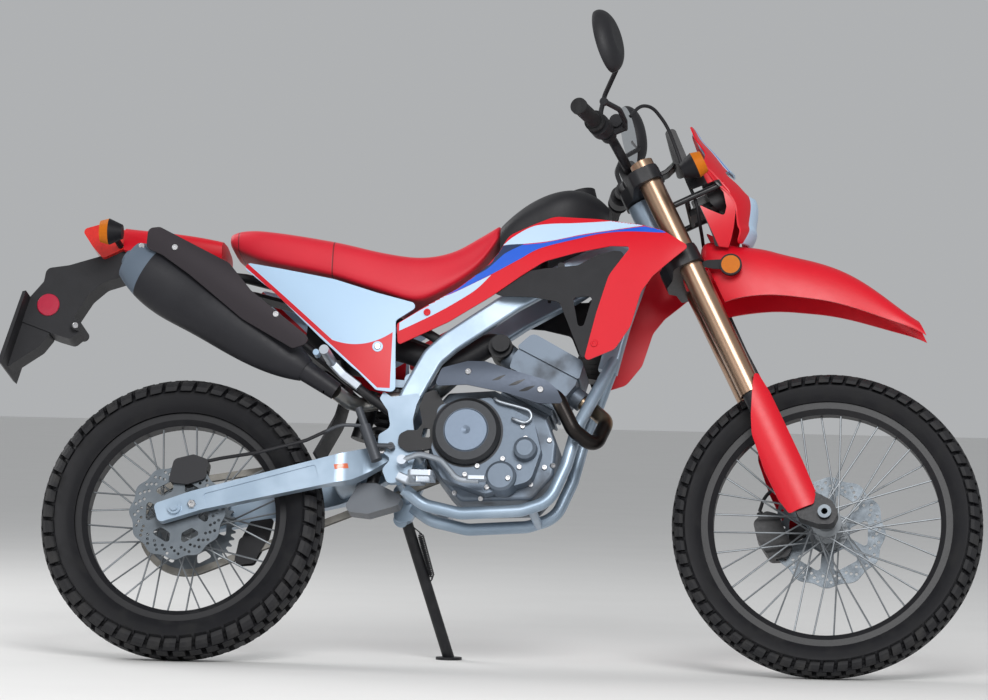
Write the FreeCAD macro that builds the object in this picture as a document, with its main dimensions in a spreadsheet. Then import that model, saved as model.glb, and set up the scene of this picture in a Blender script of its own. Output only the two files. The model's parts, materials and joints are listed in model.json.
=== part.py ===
import FreeCAD, Part
import math
import os
from FreeCAD import Placement, Rotation, Vector

# Dual sport motorcycle, drawn upright in its own side view and then leaned over onto its side stand.
# X points forward, Y to the rider's left and Z up, in millimetres. Side-view points are (x ahead of the
# rear axle, z above the road under the upright machine).

SIZES = {
    # Driving dimensions of the whole machine
    "wheelbase": 1455, "rake": 27, "axle_offset": 63.5, "head_to_axle": 788.8, "lean": 16,
    "rear_radius": 322, "front_radius": 346, "pivot_ahead": 518, "pivot_height": 491,
    # Wheels, tyres, hubs and discs
    "front_tyre_width": 86, "rear_tyre_width": 117, "front_rim_radius": 280, "rear_rim_radius": 242,
    "front_rim_width": 44, "rear_rim_width": 58, "flange_height": 12, "flange_thickness": 3.5,
    "well_depth": 9, "rim_wall": 6, "lug_depth": 11, "lug_gap": 24, "seat_gap": 0.3,
    "front_hub_half": 36, "rear_hub_half": 64, "hub_barrel_radius": 22, "rear_barrel_radius": 30,
    "front_flange_radius": 34, "rear_flange_radius": 46, "spoke_thickness": 4.2,
    "front_axle_radius": 10, "front_axle_bore": 7, "rear_axle_radius": 9, "axle_clearance": 0.05,
    "front_disc_radius": 128, "rear_disc_radius": 110, "disc_thickness": 4, "disc_ring": 34,
    "front_disc_side": 62, "rear_disc_side": 72, "disc_wave": 3.2, "disc_gap": 5,
    # Chain drive
    "chain_pitch": 15.875, "chain_side": 72, "roller_radius": 5.1, "plate_height": 14.5,
    "inner_width": 6.6, "plate_thickness": 2.2, "rear_sprocket_thickness": 5.6,
    # Swingarm, shock and rear brake
    "arm_outer": 111, "arm_wall": 26, "arm_pivot_radius": 18, "pivot_bolt": 10,
    "shock_radius": 33, "shock_wire": 11, "rear_hose_radius": 4,
    # Frame
    "head_tube_radius": 31, "head_tube_length": 150, "stem_radius": 15, "head_bore": 21,
    "spar_depth": 50, "spar_width": 27, "spar_side": 81, "plate_side": 84, "pivot_plate": 20,
    "cradle_tube": 14, "cradle_side": 75, "rail_tube": 11, "rail_side": 93,
    # Engine
    "case_half": 86, "cylinder_tilt": 27, "cylinder_half": 58, "head_half": 66,
    "clutch_cover_radius": 80, "clutch_cover_side": 152, "engine_cover_side": 128,
    "left_cover_side": 128, "pipe_radius": 17, "muffler_radius": 68, "muffler_side": 168,
    # Steering head, fork and front end
    "fork_side": 100, "fork_tube_radius": 27, "fork_lead": 35, "fork_leg_radius": 24,
    "upper_clamp": 34, "lower_clamp": 42, "upper_clamp_height": 78, "lower_clamp_height": -138,
    "fork_top": 132, "fork_gold_end": -465, "guard_thickness": 4,
    "bar_radius": 14, "grip_radius": 17, "grip_length": 118, "bar_end": 405, "mirror_side": 320,
    # Bodywork
    "seat_half": 118, "tank_half": 104, "shroud_half": 176, "shroud_waist": 122,
    "skin": 4, "cover_half": 150, "fender_half": 72, "fender_skin": 4, "mask_half": 118,
    "lamp_radius": 30, "peg_side": 168, "peg_length": 72, "stand_tube": 13, "stand_spread": 312, "stand_knuckle": 13, "stand_bolt": 6, "pin_play": 0.08,
}

doc = FreeCAD.newDocument("DualSportMotorcycle")
sheet = doc.addObject("Spreadsheet::Sheet", "Sizes")
for row, (alias, value) in enumerate(SIZES.items(), start=1):
    sheet.set(f"A{row}", alias)
    sheet.set(f"B{row}", str(value))
    sheet.setAlias(f"B{row}", alias)
doc.recompute()

nodes = []


def size(alias):
    """A driving dimension, read from the sheet."""
    return float(sheet.get(alias))


def sine(degrees):
    return math.sin(math.radians(degrees))


def cosine(degrees):
    return math.cos(math.radians(degrees))


def mirrored(shape):
    """The shape and its twin on the other side of the machine's middle plane."""
    return [shape, shape.mirror(Vector(0, 0, 0), Vector(0, 1, 0))]


def rounded_edges(corners, closed=True):
    """Straight edges joined by tangent arcs: each corner is (point, radius)."""
    count = len(corners)
    starts, ends, arcs = [None] * count, [None] * count, [None] * count
    for i, (corner, radius) in enumerate(corners):
        starts[i] = ends[i] = corner
        if radius and (closed or 0 < i < count - 1):
            before = corners[i - 1][0] - corner
            after = corners[(i + 1) % count][0] - corner
            half = before.getAngle(after) / 2
            back = radius / math.tan(half)
            before.normalize()
            after.normalize()
            starts[i] = corner + before * back
            ends[i] = corner + after * back
            middle = before + after
            middle.normalize()
            centre = corner + middle * (radius / math.sin(half))
            arcs[i] = Part.Arc(starts[i], centre - middle * radius, ends[i])
    edges = []
    for i in range(count if closed else count - 1):
        j = (i + 1) % count
        if (ends[i] - starts[j]).Length > 1e-6:
            edges.append(Part.LineSegment(ends[i], starts[j]))
        if arcs[j]:
            edges.append(arcs[j])
    return edges


def side_outline(points, y=0.0):
    """A closed wire in the side view, from (x, z) or (x, z, corner radius)."""
    corners = [(Vector(p[0], y, p[1]), p[2] if len(p) > 2 else 0) for p in points]
    return Part.Wire([edge.toShape() for edge in rounded_edges(corners)])


def plate(points, low, high):
    """A slab with that outline in the side view, from y = low to y = high."""
    return Part.Face(side_outline(points, low)).extrude(Vector(0, high - low, 0))


def slab(points, plane, low, high):
    """The same on another plane: "top" takes (x, y) points, "front" takes (y, z) points."""
    if plane == "top":
        corners = [(Vector(p[0], p[1], low), p[2] if len(p) > 2 else 0) for p in points]
        along = Vector(0, 0, high - low)
    else:
        corners = [(Vector(low, p[0], p[1]), p[2] if len(p) > 2 else 0) for p in points]
        along = Vector(high - low, 0, 0)
    wire = Part.Wire([edge.toShape() for edge in rounded_edges(corners)])
    return Part.Face(wire).extrude(along)


def route(points, bend):
    """A path of straight runs joined by arcs no larger than the runs allow."""
    corners = []
    for i, point in enumerate(points):
        radius = 0
        if 0 < i < len(points) - 1:
            before, after = points[i - 1] - point, points[i + 1] - point
            half = before.getAngle(after) / 2
            if half < math.radians(89.5):
                radius = min(bend, 0.45 * min(before.Length, after.Length) * math.tan(half))
        corners.append((point, radius))
    return Part.Wire([edge.toShape() for edge in rounded_edges(corners, closed=False)])


def tube(points, radius, bend=60):
    """A round bar or closed-ended pipe along a bent path."""
    points = [Vector(*point) for point in points]
    section = Part.Wire(Part.makeCircle(radius, points[0], points[1] - points[0]))
    return route(points, bend).makePipeShell([section], True, False)


def beam(points, width, depth, corner, bend=60):
    """A box-section bar along a bent path: width across Y, depth in the side view."""
    points = [Vector(*point) for point in points]
    along = points[1] - points[0]
    along.normalize()
    rise = along.cross(Vector(0, 1, 0))
    rise.normalize()
    across = rise.cross(along)
    corners = []
    for u, v in ((1, 1), (-1, 1), (-1, -1), (1, -1)):
        corners.append((points[0] + across * (u * width / 2) + rise * (v * depth / 2), corner))
    section = Part.Wire([edge.toShape() for edge in rounded_edges(corners)])
    return route(points, bend).makePipeShell([section], True, False)


def rod(start, end, radius, inner=0.0):
    """A straight round bar, or a tube with a bore."""
    start, end = Vector(*start), Vector(*end)
    made = Part.makeCylinder(radius, (end - start).Length, start, end - start)
    if inner:
        made = made.cut(Part.makeCylinder(inner, (end - start).Length, start, end - start))
    return made


def cone(start, end, first, last):
    start, end = Vector(*start), Vector(*end)
    return Part.makeCone(first, last, (end - start).Length, start, end - start)


def ring_section(station, bottom_half, bottom, side_half, side, top, crown=0.45, bulge=1.0):
    """A closed body section across the machine at x = station: flat below, crowned above."""
    right = [
        Vector(station, -bottom_half, bottom),
        Vector(station, -side_half * bulge, (bottom + side) / 2 + (side - bottom) * 0.1),
        Vector(station, -side_half, side),
        Vector(station, -side_half * crown, side + (top - side) * 0.82),
        Vector(station, 0, top),
    ]
    left = [Vector(p.x, -p.y, p.z) for p in reversed(right[:-1])]
    curve = Part.BSplineCurve()
    curve.interpolate(right + left)
    base = Part.LineSegment(left[-1], right[0])
    return Part.Wire([curve.toShape(), base.toShape()])


def lofted(wires, ruled=False):
    return Part.makeLoft(wires, True, ruled)


def skin(points, depth_at, thickness, plane="side", grid=None, facing=-1):
    """A curved panel: the side (or front) outline projected on a smooth surface, with a thickness.

    depth_at(a, b) gives how far the outer surface lies from the middle plane at outline point (a, b)."""
    a_low, a_high = min(p[0] for p in points) - 8, max(p[0] for p in points) + 8
    b_low, b_high = min(p[1] for p in points) - 8, max(p[1] for p in points) + 8
    columns, rows = grid or (7, 6)
    net = []
    for i in range(columns):
        a = a_low + (a_high - a_low) * i / (columns - 1)
        line = []
        for j in range(rows):
            b = b_low + (b_high - b_low) * j / (rows - 1)
            depth = facing * depth_at(a, b)
            line.append(Vector(a, depth, b) if plane == "side" else Vector(depth, a, b))
        net.append(line)
    surface = Part.BSplineSurface()
    surface.interpolate(net)
    inward = Vector(0, -facing * thickness, 0) if plane == "side" else Vector(-facing * thickness, 0, 0)
    sheet_of = surface.toShape().extrude(inward)
    far = 600
    if plane == "side":
        block = plate(points, -far if facing < 0 else 0, 0 if facing < 0 else far)
    else:
        block = slab(points, "front", -far, far)
    return block.common(sheet_of)


def turned(profile):
    """A solid turned about the Y axis from a closed (y, radius) profile."""
    corners = [(Vector(0, p[0], p[1]), p[2] if len(p) > 2 else 0) for p in profile]
    wire = Part.Wire([edge.toShape() for edge in rounded_edges(corners)])
    return Part.Face(wire).revolve(Vector(0, 0, 0), Vector(0, 1, 0), 360)


def body_of(label):
    made = doc.addObject("PartDesign::Body", label + "_body")
    made.Label = label
    return made


def plane_of(owner, role):
    return [f for f in owner.Origin.OriginFeatures if f.Role == role][0]


def draw(owner, role, wires, offset=0.0):
    """A sketch on one of the body's own origin planes; wires are lists of edges in its plane."""
    made = owner.newObject("Sketcher::SketchObject", owner.Label + "_sketch")
    made.AttachmentSupport = [(plane_of(owner, role), "")]
    made.MapMode = "FlatFace"
    made.AttachmentOffset = Placement(Vector(0, 0, offset), Rotation())
    for wire in wires:
        made.addGeometry(wire, False)
    return made


def flat_edges(points):
    """Sketch edges from (u, v) or (u, v, corner radius)."""
    return rounded_edges([(Vector(p[0], p[1], 0), p[2] if len(p) > 2 else 0) for p in points])


def circle(radius, u=0.0, v=0.0):
    return [Part.Circle(Vector(u, v, 0), Vector(0, 0, 1), radius)]


def turned_body(label, profile):
    """A body revolved about the wheel's axle from a (y, radius) sketch."""
    owner = body_of(label)
    drawn = draw(owner, "YZ_Plane", [flat_edges(profile)])
    made = owner.newObject("PartDesign::Revolution", label + "_turned")
    made.Profile = drawn
    made.ReferenceAxis = (drawn, ["H_Axis"])
    made.Angle = 360
    doc.recompute()
    return owner


def feature(label, shapes):
    """A node made of one or more solids."""
    made = doc.addObject("Part::Feature", label)
    made.Label = label
    shapes = shapes if isinstance(shapes, list) else [shapes]
    made.Shape = shapes[0] if len(shapes) == 1 else Part.makeCompound(shapes)
    return made


def fused(shapes):
    made = shapes[0].multiFuse(shapes[1:])
    return made.removeSplitter()


def keep(made, place):
    """Counts an object as a sub-part and gives it its place on the upright machine."""
    nodes.append((made, place))
    return made


# Datums: the axles, the swingarm pivot and the steering head all follow from the driving dimensions.
LEAN = size("lean")
RAKE = size("rake")


def tyre_crown(width, radius, rim_radius):
    """The outer half profile from the middle of the tread to the rim, as (y, radius) points."""
    half, wall = width / 2, radius - rim_radius
    return [
        (0.30 * half, radius),
        (0.72 * half, radius - 0.09 * wall),
        (0.97 * half, radius - 0.27 * wall),
        (half, radius - 0.48 * wall),
        (0.84 * half, radius - 0.78 * wall),
    ]


def standing_height(width, radius, rim_radius):
    """How high the axle of a leaning wheel stands over the road."""
    profile = tyre_crown(width, radius, rim_radius)
    return max(rho * cosine(LEAN) + y * sine(LEAN) for y, rho in profile)


rear_tyre = (size("rear_tyre_width"), size("rear_radius"), size("rear_rim_radius"))
front_tyre = (size("front_tyre_width"), size("front_radius"), size("front_rim_radius"))
rear_z = size("rear_radius")
front_z = rear_z + (standing_height(*front_tyre) - standing_height(*rear_tyre)) / cosine(LEAN)
rear_axle = Vector(0, 0, rear_z)
front_axle = Vector(size("wheelbase"), 0, front_z)
pivot = Vector(size("pivot_ahead"), 0, size("pivot_height"))
steer_forward = Vector(cosine(RAKE), 0, sine(RAKE))
steer_up = Vector(-sine(RAKE), 0, cosine(RAKE))
head = front_axle - steer_forward * size("axle_offset") + steer_up * size("head_to_axle")
DRAWN_HEAD = (1040, 1020)


def at(x, z):
    """A chassis point: between the pivot and the steering head it moves along with the head."""
    share = min(max((x - 518) / (DRAWN_HEAD[0] - 518), 0), 1)
    return (x + share * (head.x - DRAWN_HEAD[0]), z + share * (head.z - DRAWN_HEAD[1]))


def chassis(points):
    return [at(p[0], p[1]) + tuple(p[2:]) for p in points]


def at3(x, y, z):
    moved = at(x, z)
    return (moved[0], y, moved[1])


def steered(u, y, w):
    """A point of the steering frame: u ahead of the steering axis, w up along it."""
    return (u, y, w)


upright = Placement()
in_steering = Placement(head, Rotation(Vector(0, 1, 0), -RAKE))
at_front_axle = Placement(front_axle, Rotation())
at_rear_axle = Placement(rear_axle, Rotation())


# Wheels: each is drawn about its own axle, with Y along the axle.
def lugged(tyre, bead_half, lugs):
    """A tyre with three rows of lugs, drawn in flat facets: a centre block and two shoulder blocks a pitch.

    The outer facets lie on tyre_crown, so the lug under the axle touches the road where a smooth tread would."""
    width, radius, rim_radius = tyre
    half, wall, depth = width / 2, radius - rim_radius, size("lug_depth")
    pitch = 2 * math.pi / lugs
    gap = size("lug_gap") / radius
    seat = (rim_radius - size("flange_height") + size("seat_gap")) / math.cos((pitch - gap) / 2)
    centre, second, third, bulge, low = tyre_crown(width, radius, rim_radius)
    shoulder_in = (0.42 * half, radius - 0.015 * wall)
    side = [(bead_half, seat), (bead_half, rim_radius + 1), low, bulge]
    inner_foot = (0.42 * half, radius - depth - 0.01 * wall)
    centre_foot = (0.30 * half, radius - depth)

    def both(points):
        return [(-y, rho) for y, rho in points] + [(y, rho) for y, rho in reversed(points)]

    bare = both(side + [inner_foot, centre_foot])
    blocks = both(side + [third, second, shoulder_in, inner_foot, centre_foot, centre])
    ends = [[bulge, third, second, shoulder_in, inner_foot]]
    ends.append([(-y, rho) for y, rho in reversed(ends[0])])
    ends.append([(-centre_foot[0], centre_foot[1]), (-centre[0], centre[1]), centre, centre_foot])
    start = -math.pi / 2

    def on_ring(point, angle):
        return Vector(point[1] * math.cos(angle), point[0], point[1] * math.sin(angle))

    faces = []

    def band(section, first, last):
        for index, near in enumerate(section):
            far = section[(index + 1) % len(section)]
            corners = [on_ring(near, first), on_ring(far, first), on_ring(far, last), on_ring(near, last)]
            faces.append(Part.Face(Part.makePolygon(corners + corners[:1])))

    for lug in range(lugs):
        first = start + lug * pitch
        last, after = first + pitch - gap, first + pitch
        band(blocks, first, last)
        band(bare, last, after)
        for angle in (first, last):
            for end in ends:
                corners = [on_ring(point, angle) for point in end]
                faces.append(Part.Face(Part.makePolygon(corners + corners[:1])))
    shell = Part.makeShell(faces)
    shell.sewShape()
    solid = Part.makeSolid(shell.Shells[0] if shell.Shells else shell)
    if solid.Volume < 0:
        solid.reverse()
    return solid


def rim_profile(rim_width, rim_radius):
    """Closed section of a spoked rim: two flanges, bead seats and a drop centre."""
    outer = rim_width / 2
    inner = outer - size("flange_thickness")
    seat = rim_radius - size("flange_height")
    well = seat - size("well_depth")
    floor = well - size("rim_wall")
    half = [(inner, rim_radius), (outer, rim_radius), (outer, seat - 3), (0.62 * outer, floor)]
    lip = [(inner, seat), (0.72 * outer, seat), (0.5 * outer, well)]
    right = [(-y, rho) for y, rho in reversed(half)]
    left_lip = [(-y, rho) for y, rho in lip]
    return half + right + left_lip + list(reversed(lip))


LUGS = 26


def wheel_shell(name, tyre, rim_width, place):
    """The tyre and the rim that carries it."""
    width, radius, rim_radius = tyre
    bead_half = rim_width / 2 - size("flange_thickness") - size("seat_gap")
    keep(feature(name + "_tyre", lugged(tyre, bead_half, LUGS)), place)
    keep(turned_body(name + "_rim", rim_profile(rim_width, rim_radius)), place)


def spokes(rim_width, rim_radius, left, right, flange_radius):
    """Crossed spokes from the hub flanges to the inside of the rim, trimmed to its curve."""
    floor = rim_radius - size("flange_height") - size("well_depth") - size("rim_wall")
    thickness = size("spoke_thickness")
    made = []
    for index in range(SPOKES):
        flange = left if index % 2 else right
        way = 1 if (index // 2) % 2 else -1
        rim_angle = 360 / SPOKES * (index + 0.5)
        hub_angle = rim_angle + way * SPOKE_LEAN
        start = Vector((flange_radius - 6) * cosine(hub_angle), flange, (flange_radius - 6) * sine(hub_angle))
        end_y = 0.35 * rim_width / 2 * (1 if index % 2 else -1)
        end = Vector((floor + 4) * cosine(rim_angle), end_y, (floor + 4) * sine(rim_angle))
        along = end - start
        section = Part.makePolygon(hexagon(start, along, thickness / 2))
        made.append(Part.Face(section).extrude(along))
    limit = Part.makeCylinder(floor - size("seat_gap"), 400, Vector(0, -200, 0), Vector(0, 1, 0))
    return [spoke.common(limit) for spoke in made]


def hexagon(centre, along, radius):
    """Corners of a hexagon across a direction."""
    turn = Rotation(Vector(0, 0, 1), along)
    corners = [Vector(radius * cosine(60 * i), radius * sine(60 * i), 0) for i in range(7)]
    return [centre + turn.multVec(corner) for corner in corners]


SPOKES = 36
SPOKE_LEAN = 62


def front_hub():
    """Slim barrel, two spoke flanges and the disc's carrier on the left."""
    half, barrel = size("front_hub_half"), size("hub_barrel_radius")
    flange, bore = size("front_flange_radius"), size("front_axle_radius") + size("axle_clearance")
    carrier = size("front_disc_side") - size("disc_thickness") / 2
    profile = [
        (-half, bore), (-half, barrel), (-half + 4, flange), (-half + 8, flange), (-half + 14, barrel),
        (half - 14, barrel), (half - 8, flange), (half - 4, flange), (half, barrel + 3),
        (carrier - 6, barrel + 8), (carrier - 5, DISC_SEAT), (carrier, DISC_SEAT), (carrier, bore),
    ]
    left, right = half - 6, -half + 6
    shapes = [turned(profile)] + spokes(size("front_rim_width"), size("front_rim_radius"), left, right, flange)
    return feature("front_hub", fused(shapes))


DISC_SEAT = 44


def rear_hub():
    """Wide barrel with the sprocket's carrier on the left and the disc's on the right."""
    half, barrel = size("rear_hub_half"), size("rear_barrel_radius")
    flange, bore = size("rear_flange_radius"), size("rear_axle_radius") + size("axle_clearance")
    carrier = size("chain_side") - size("rear_sprocket_thickness") / 2
    disc = -size("rear_disc_side") + size("disc_thickness") / 2
    profile = [
        (disc, bore), (disc, DISC_SEAT), (disc + 5, DISC_SEAT), (disc + 8, barrel), (-half + 18, barrel),
        (-half + 22, flange), (-half + 27, flange), (-half + 34, barrel), (half - 34, barrel),
        (half - 27, flange), (half - 22, flange), (half - 14, SPROCKET_SEAT - 14),
        (carrier - 8, SPROCKET_SEAT), (carrier, SPROCKET_SEAT), (carrier, bore),
    ]
    left, right = half - 25, -half + 25
    shapes = [turned(profile)] + spokes(size("rear_rim_width"), size("rear_rim_radius"), left, right, flange)
    return feature("rear_hub", fused(shapes))


SPROCKET_SEAT = 62
REAR_TEETH = 42
FRONT_TEETH = 14
DISC_WAVES = 12


def brake_disc(label, radius, middle, seat):
    """A waved disc with drilled holes and a light carrier, cut from one plate."""
    owner = body_of(label)
    inner, wave = radius - size("disc_ring"), size("disc_wave")
    rim = []
    for i in range(DISC_WAVES * 8):
        angle = 360 * i / (DISC_WAVES * 8)
        rho = radius - wave + wave * cosine(angle * DISC_WAVES)
        rim.append(Vector(rho * cosine(angle), rho * sine(angle), 0))
    outline = Part.BSplineCurve()
    outline.interpolate(rim, PeriodicFlag=True)
    drawn = draw(owner, "XZ_Plane", [[outline], circle(size("rear_axle_radius") + 8)], -middle)
    made = owner.newObject("PartDesign::Pad", label + "_plate")
    made.Profile = drawn
    made.setExpression("Length", "Sizes.disc_thickness")
    made.SideType = "Symmetric"
    owner.Tip = made
    doc.recompute()
    window_angle = 360 / DISC_ARMS
    window = []
    for rho, half_angle in ((inner, 0.34), (seat + 6, 0.24)):
        for side in (-1, 1):
            turn = window_angle * half_angle * side * (1 if rho == inner else -1)
            window.append((rho * cosine(turn), rho * sine(turn), 7))
    cut = owner.newObject("PartDesign::Pocket", label + "_window")
    cut.Profile = draw(owner, "XZ_Plane", [flat_edges(window)], -middle)
    cut.Type = "ThroughAll"
    cut.SideType = "Symmetric"
    windows = owner.newObject("PartDesign::PolarPattern", label + "_windows")
    windows.Originals = [cut]
    windows.Axis = (cut.Profile[0], ["N_Axis"])
    windows.Angle = 360
    windows.Occurrences = DISC_ARMS
    owner.Tip = windows
    doc.recompute()
    holes = []
    for k, share in enumerate((0.24, 0.5, 0.76)):
        rho = inner + (radius - 2 * wave - inner) * share
        holes.append(circle(HOLE_RADIUS, rho * cosine(5 * k - 5), rho * sine(5 * k - 5)))
    drill = owner.newObject("PartDesign::Pocket", label + "_drilling")
    drill.Profile = draw(owner, "XZ_Plane", holes, -middle)
    drill.Type = "ThroughAll"
    drill.SideType = "Symmetric"
    drilled = owner.newObject("PartDesign::PolarPattern", label + "_holes")
    drilled.Originals = [drill]
    drilled.Axis = (drill.Profile[0], ["N_Axis"])
    drilled.Angle = 360
    drilled.Occurrences = DISC_WAVES * 2
    owner.Tip = drilled
    doc.recompute()
    return owner


DISC_ARMS = 6
HOLE_RADIUS = 3.4


def sprocket_outline(teeth):
    """Tooth tips and root arcs of a chain sprocket, as sketch points."""
    pitch = size("chain_pitch") / (2 * sine(180 / teeth))
    root = pitch - size("roller_radius") - 0.4
    tip = pitch + 0.28 * size("chain_pitch") - 0.5
    step = 360 / teeth
    points = []
    for i in range(teeth):
        for rho, share in ((root, -0.16), (root, 0.16), (tip, 0.4), (tip, 0.6)):
            angle = step * (i + share)
            points.append((rho * cosine(angle), rho * sine(angle)))
    return points


def rear_sprocket():
    owner = body_of("rear_sprocket")
    middle = size("chain_side")
    made = owner.newObject("PartDesign::Pad", "rear_sprocket_plate")
    bore = circle(size("rear_axle_radius") + 8)
    made.Profile = draw(owner, "XZ_Plane", [flat_edges(sprocket_outline(REAR_TEETH)), bore], -middle)
    made.setExpression("Length", "Sizes.rear_sprocket_thickness")
    made.SideType = "Symmetric"
    owner.Tip = made
    doc.recompute()
    reach = size("chain_pitch") / (2 * sine(180 / REAR_TEETH)) - 14
    window = [(SPROCKET_SEAT + 5, -11, 5), (reach - 4, -19, 5), (reach - 4, 19, 5), (SPROCKET_SEAT + 5, 11, 5)]
    cut = owner.newObject("PartDesign::Pocket", "rear_sprocket_window")
    cut.Profile = draw(owner, "XZ_Plane", [flat_edges(window)], -middle)
    cut.Type = "ThroughAll"
    cut.SideType = "Symmetric"
    windows = owner.newObject("PartDesign::PolarPattern", "rear_sprocket_windows")
    windows.Originals = [cut]
    windows.Axis = (cut.Profile[0], ["N_Axis"])
    windows.Angle = 360
    windows.Occurrences = DISC_ARMS
    owner.Tip = windows
    doc.recompute()
    return owner


def front_axle_shaft():
    """Hollow front axle with the two collars that stand between the hub and the fork legs."""
    radius, inner = size("front_axle_radius"), size("front_axle_bore")
    leg = size("fork_side") - size("fork_leg_radius") - size("seat_gap")
    left = size("front_disc_side") - size("disc_thickness") / 2 + size("seat_gap")
    right = size("front_hub_half") + size("seat_gap")
    end = size("fork_side") + AXLE_PROUD
    collar = radius + 6
    profile = [
        (-end, inner), (-end, radius + 5), (-end + 8, radius + 5), (-end + 8, radius), (-leg, radius),
        (-leg, collar), (-right, collar), (-right, radius), (left, radius), (left, collar), (leg, collar),
        (leg, radius), (end, radius), (end, inner),
    ]
    return turned_body("front_axle", profile)


AXLE_PROUD = 36

wheel_shell("front", front_tyre, size("front_rim_width"), at_front_axle)
keep(front_hub(), at_front_axle)
keep(brake_disc("front_disc", size("front_disc_radius"), size("front_disc_side"), DISC_SEAT), at_front_axle)
wheel_shell("rear", rear_tyre, size("rear_rim_width"), at_rear_axle)
keep(rear_hub(), at_rear_axle)
keep(brake_disc("rear_disc", size("rear_disc_radius"), -size("rear_disc_side"), DISC_SEAT), at_rear_axle)
keep(rear_sprocket(), at_rear_axle)
keep(front_axle_shaft(), at_front_axle)


# Frame: steering head, two box spars to the pivot plates, and a cradle under the engine.
def head_point(along, y=0.0, ahead=0.0):
    """A chassis point given along the steering axis from the middle of the head tube."""
    spot = head + steer_up * along + steer_forward * ahead
    return (spot.x, y, spot.z)


def main_frame():
    half = size("head_tube_length") / 2
    radius, bore = size("head_tube_radius"), size("head_bore")
    side, width, depth = size("spar_side"), size("spar_width"), size("spar_depth")
    shapes = [rod(head_point(-half), head_point(half), radius)]
    for y in (-1, 1):
        path = [
            head_point(-30, y * 24, -14), at3(945, y * 56, 955), at3(860, y * side, 902),
            at3(737, y * side, 829), at3(599, y * side, 729), at3(560, y * side, 692), at3(537, y * side, 646),
            at3(514, y * side, 598), at3(506, y * side, 566),
        ]
        shapes.append(beam(path, width, depth, 7, 60))
        low, high = sorted((y * size("plate_side"), y * (size("plate_side") + size("pivot_plate"))))
        shapes.append(plate([at(*p[:2]) + (p[2],) for p in PIVOT_PLATE], low, high))
    shapes.append(rod(at3(512, -side, 640), at3(512, side, 640), 14))
    shapes.append(rod(at3(500, -size("plate_side") - 2, 400), at3(500, size("plate_side") + 2, 400), 8))
    for low in (-24, SHOCK_EYE_HALF + size("seat_gap")):
        shapes.append(plate(chassis([(458, 637.5, 4), (512, 636), (512, 652), (458, 656, 10)]), low,
                            low + 24 - SHOCK_EYE_HALF - size("seat_gap")))
    made = fused(shapes)
    made = made.cut(rod(head_point(-half - 5), head_point(half + 5), bore))
    bolt = size("pivot_bolt") + size("seat_gap")
    made = made.cut(rod((pivot.x, -150, pivot.z), (pivot.x, 150, pivot.z), bolt))
    low, high = size("plate_side"), size("plate_side") + size("pivot_plate")
    lug = plate(chassis([(466, 404, 6), (528, 404, 6), (508, 352, 14), (470, 350, 14)]), low, high)
    lug = lug.fuse(plate(chassis([(466, 386, 6), (514, 384, 6), (506, 352, 14), (470, 350, 14)]), low, high + 8))
    hinge = size("stand_knuckle")
    lug = fused([lug, rod(on_hinge(-hinge - 14), on_hinge(-hinge), 17)])
    made = fused([made, lug]).cut(rod(on_hinge(-hinge - size("seat_gap")), on_hinge(60), 23))
    pin = rod(on_hinge(-hinge - 8), on_hinge(hinge + 5), size("stand_bolt"))
    head_of_pin = rod(on_hinge(hinge + size("seat_gap")), on_hinge(hinge + 6), 11)
    return feature("main_frame", fused([made, pin, head_of_pin]))


def on_hinge(along):
    """A point on the side stand's hinge axis, outwards from its middle."""
    middle = Vector(*at3(*STAND_HINGE))
    down = stand_foot() - middle
    folded = Vector(-0.96, 0.26, 0.10)
    axis = down.cross(folded)
    axis.normalize()
    return middle + axis * along


def stand_foot():
    """Where the stand's foot meets the road."""
    return Vector(at(582, 0)[0], size("stand_spread"), road_height(size("stand_spread")))


def road_height(y):
    """Height of the leaning machine's road, in its upright frame."""
    road_of = rear_z * cosine(LEAN) - standing_height(*rear_tyre)
    return (road_of + y * sine(LEAN)) / cosine(LEAN)


STAND_HINGE = (489, 116, 372)


SHOCK_EYE_HALF = 14
PIVOT_PLATE = [
    (456, 606, 5), (474, 592, 10), (544, 604, 8), (532, 576, 30), (525, 540, 30), (532, 500, 30), (538, 466, 14),
    (530, 430, 14), (520, 398, 12), (476, 392, 12), (462, 424, 14), (482, 450, 10), (450, 470, 10), (450, 504, 10),
    (476, 522, 14), (468, 560, 14), (448, 588, 5),
]


def cradle(frame):
    """Down tube from the steering head that parts into two rails under the engine."""
    tube_radius, side = size("cradle_tube"), size("cradle_side")
    down = beam([head_point(-36, 0, -37), at3(972, 0, 800), at3(948, 0, 690)], 34, 44, 8, 200)
    shapes = [down]
    for y in (-1, 1):
        path = [
            at3(962, y * 6, 716), at3(930, y * 40, 634), at3(893, y * side, 540), at3(872, y * side, 450),
            at3(838, y * side, 366), at3(775, y * side, 344), at3(640, y * side, 334), at3(556, y * side, 352),
            at3(512, y * (size("plate_side") + 4), 384),
        ]
        shapes.append(tube(path, tube_radius, 70))
    shapes.append(rod(at3(800, -side, 348), at3(800, side, 348), 10))
    half = size("head_tube_length") / 2
    made = fused(shapes).cut(rod(head_point(-half - 20), head_point(half), size("head_tube_radius") + size("seat_gap")))
    for y in (-1, 1):
        low, high = sorted((y * (size("plate_side") - size("seat_gap")), y * 300))
        made = made.cut(plate([at(430, 640), at(600, 640), at(540, 376), at(430, 376)], low, high))
    return feature("cradle", largest(made.cut(frame.Shape)))


def largest(shape):
    """The main solid of a cut, without the stubs that a cut leaves beyond a wall."""
    return max(shape.Solids, key=lambda solid: solid.Volume)


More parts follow.
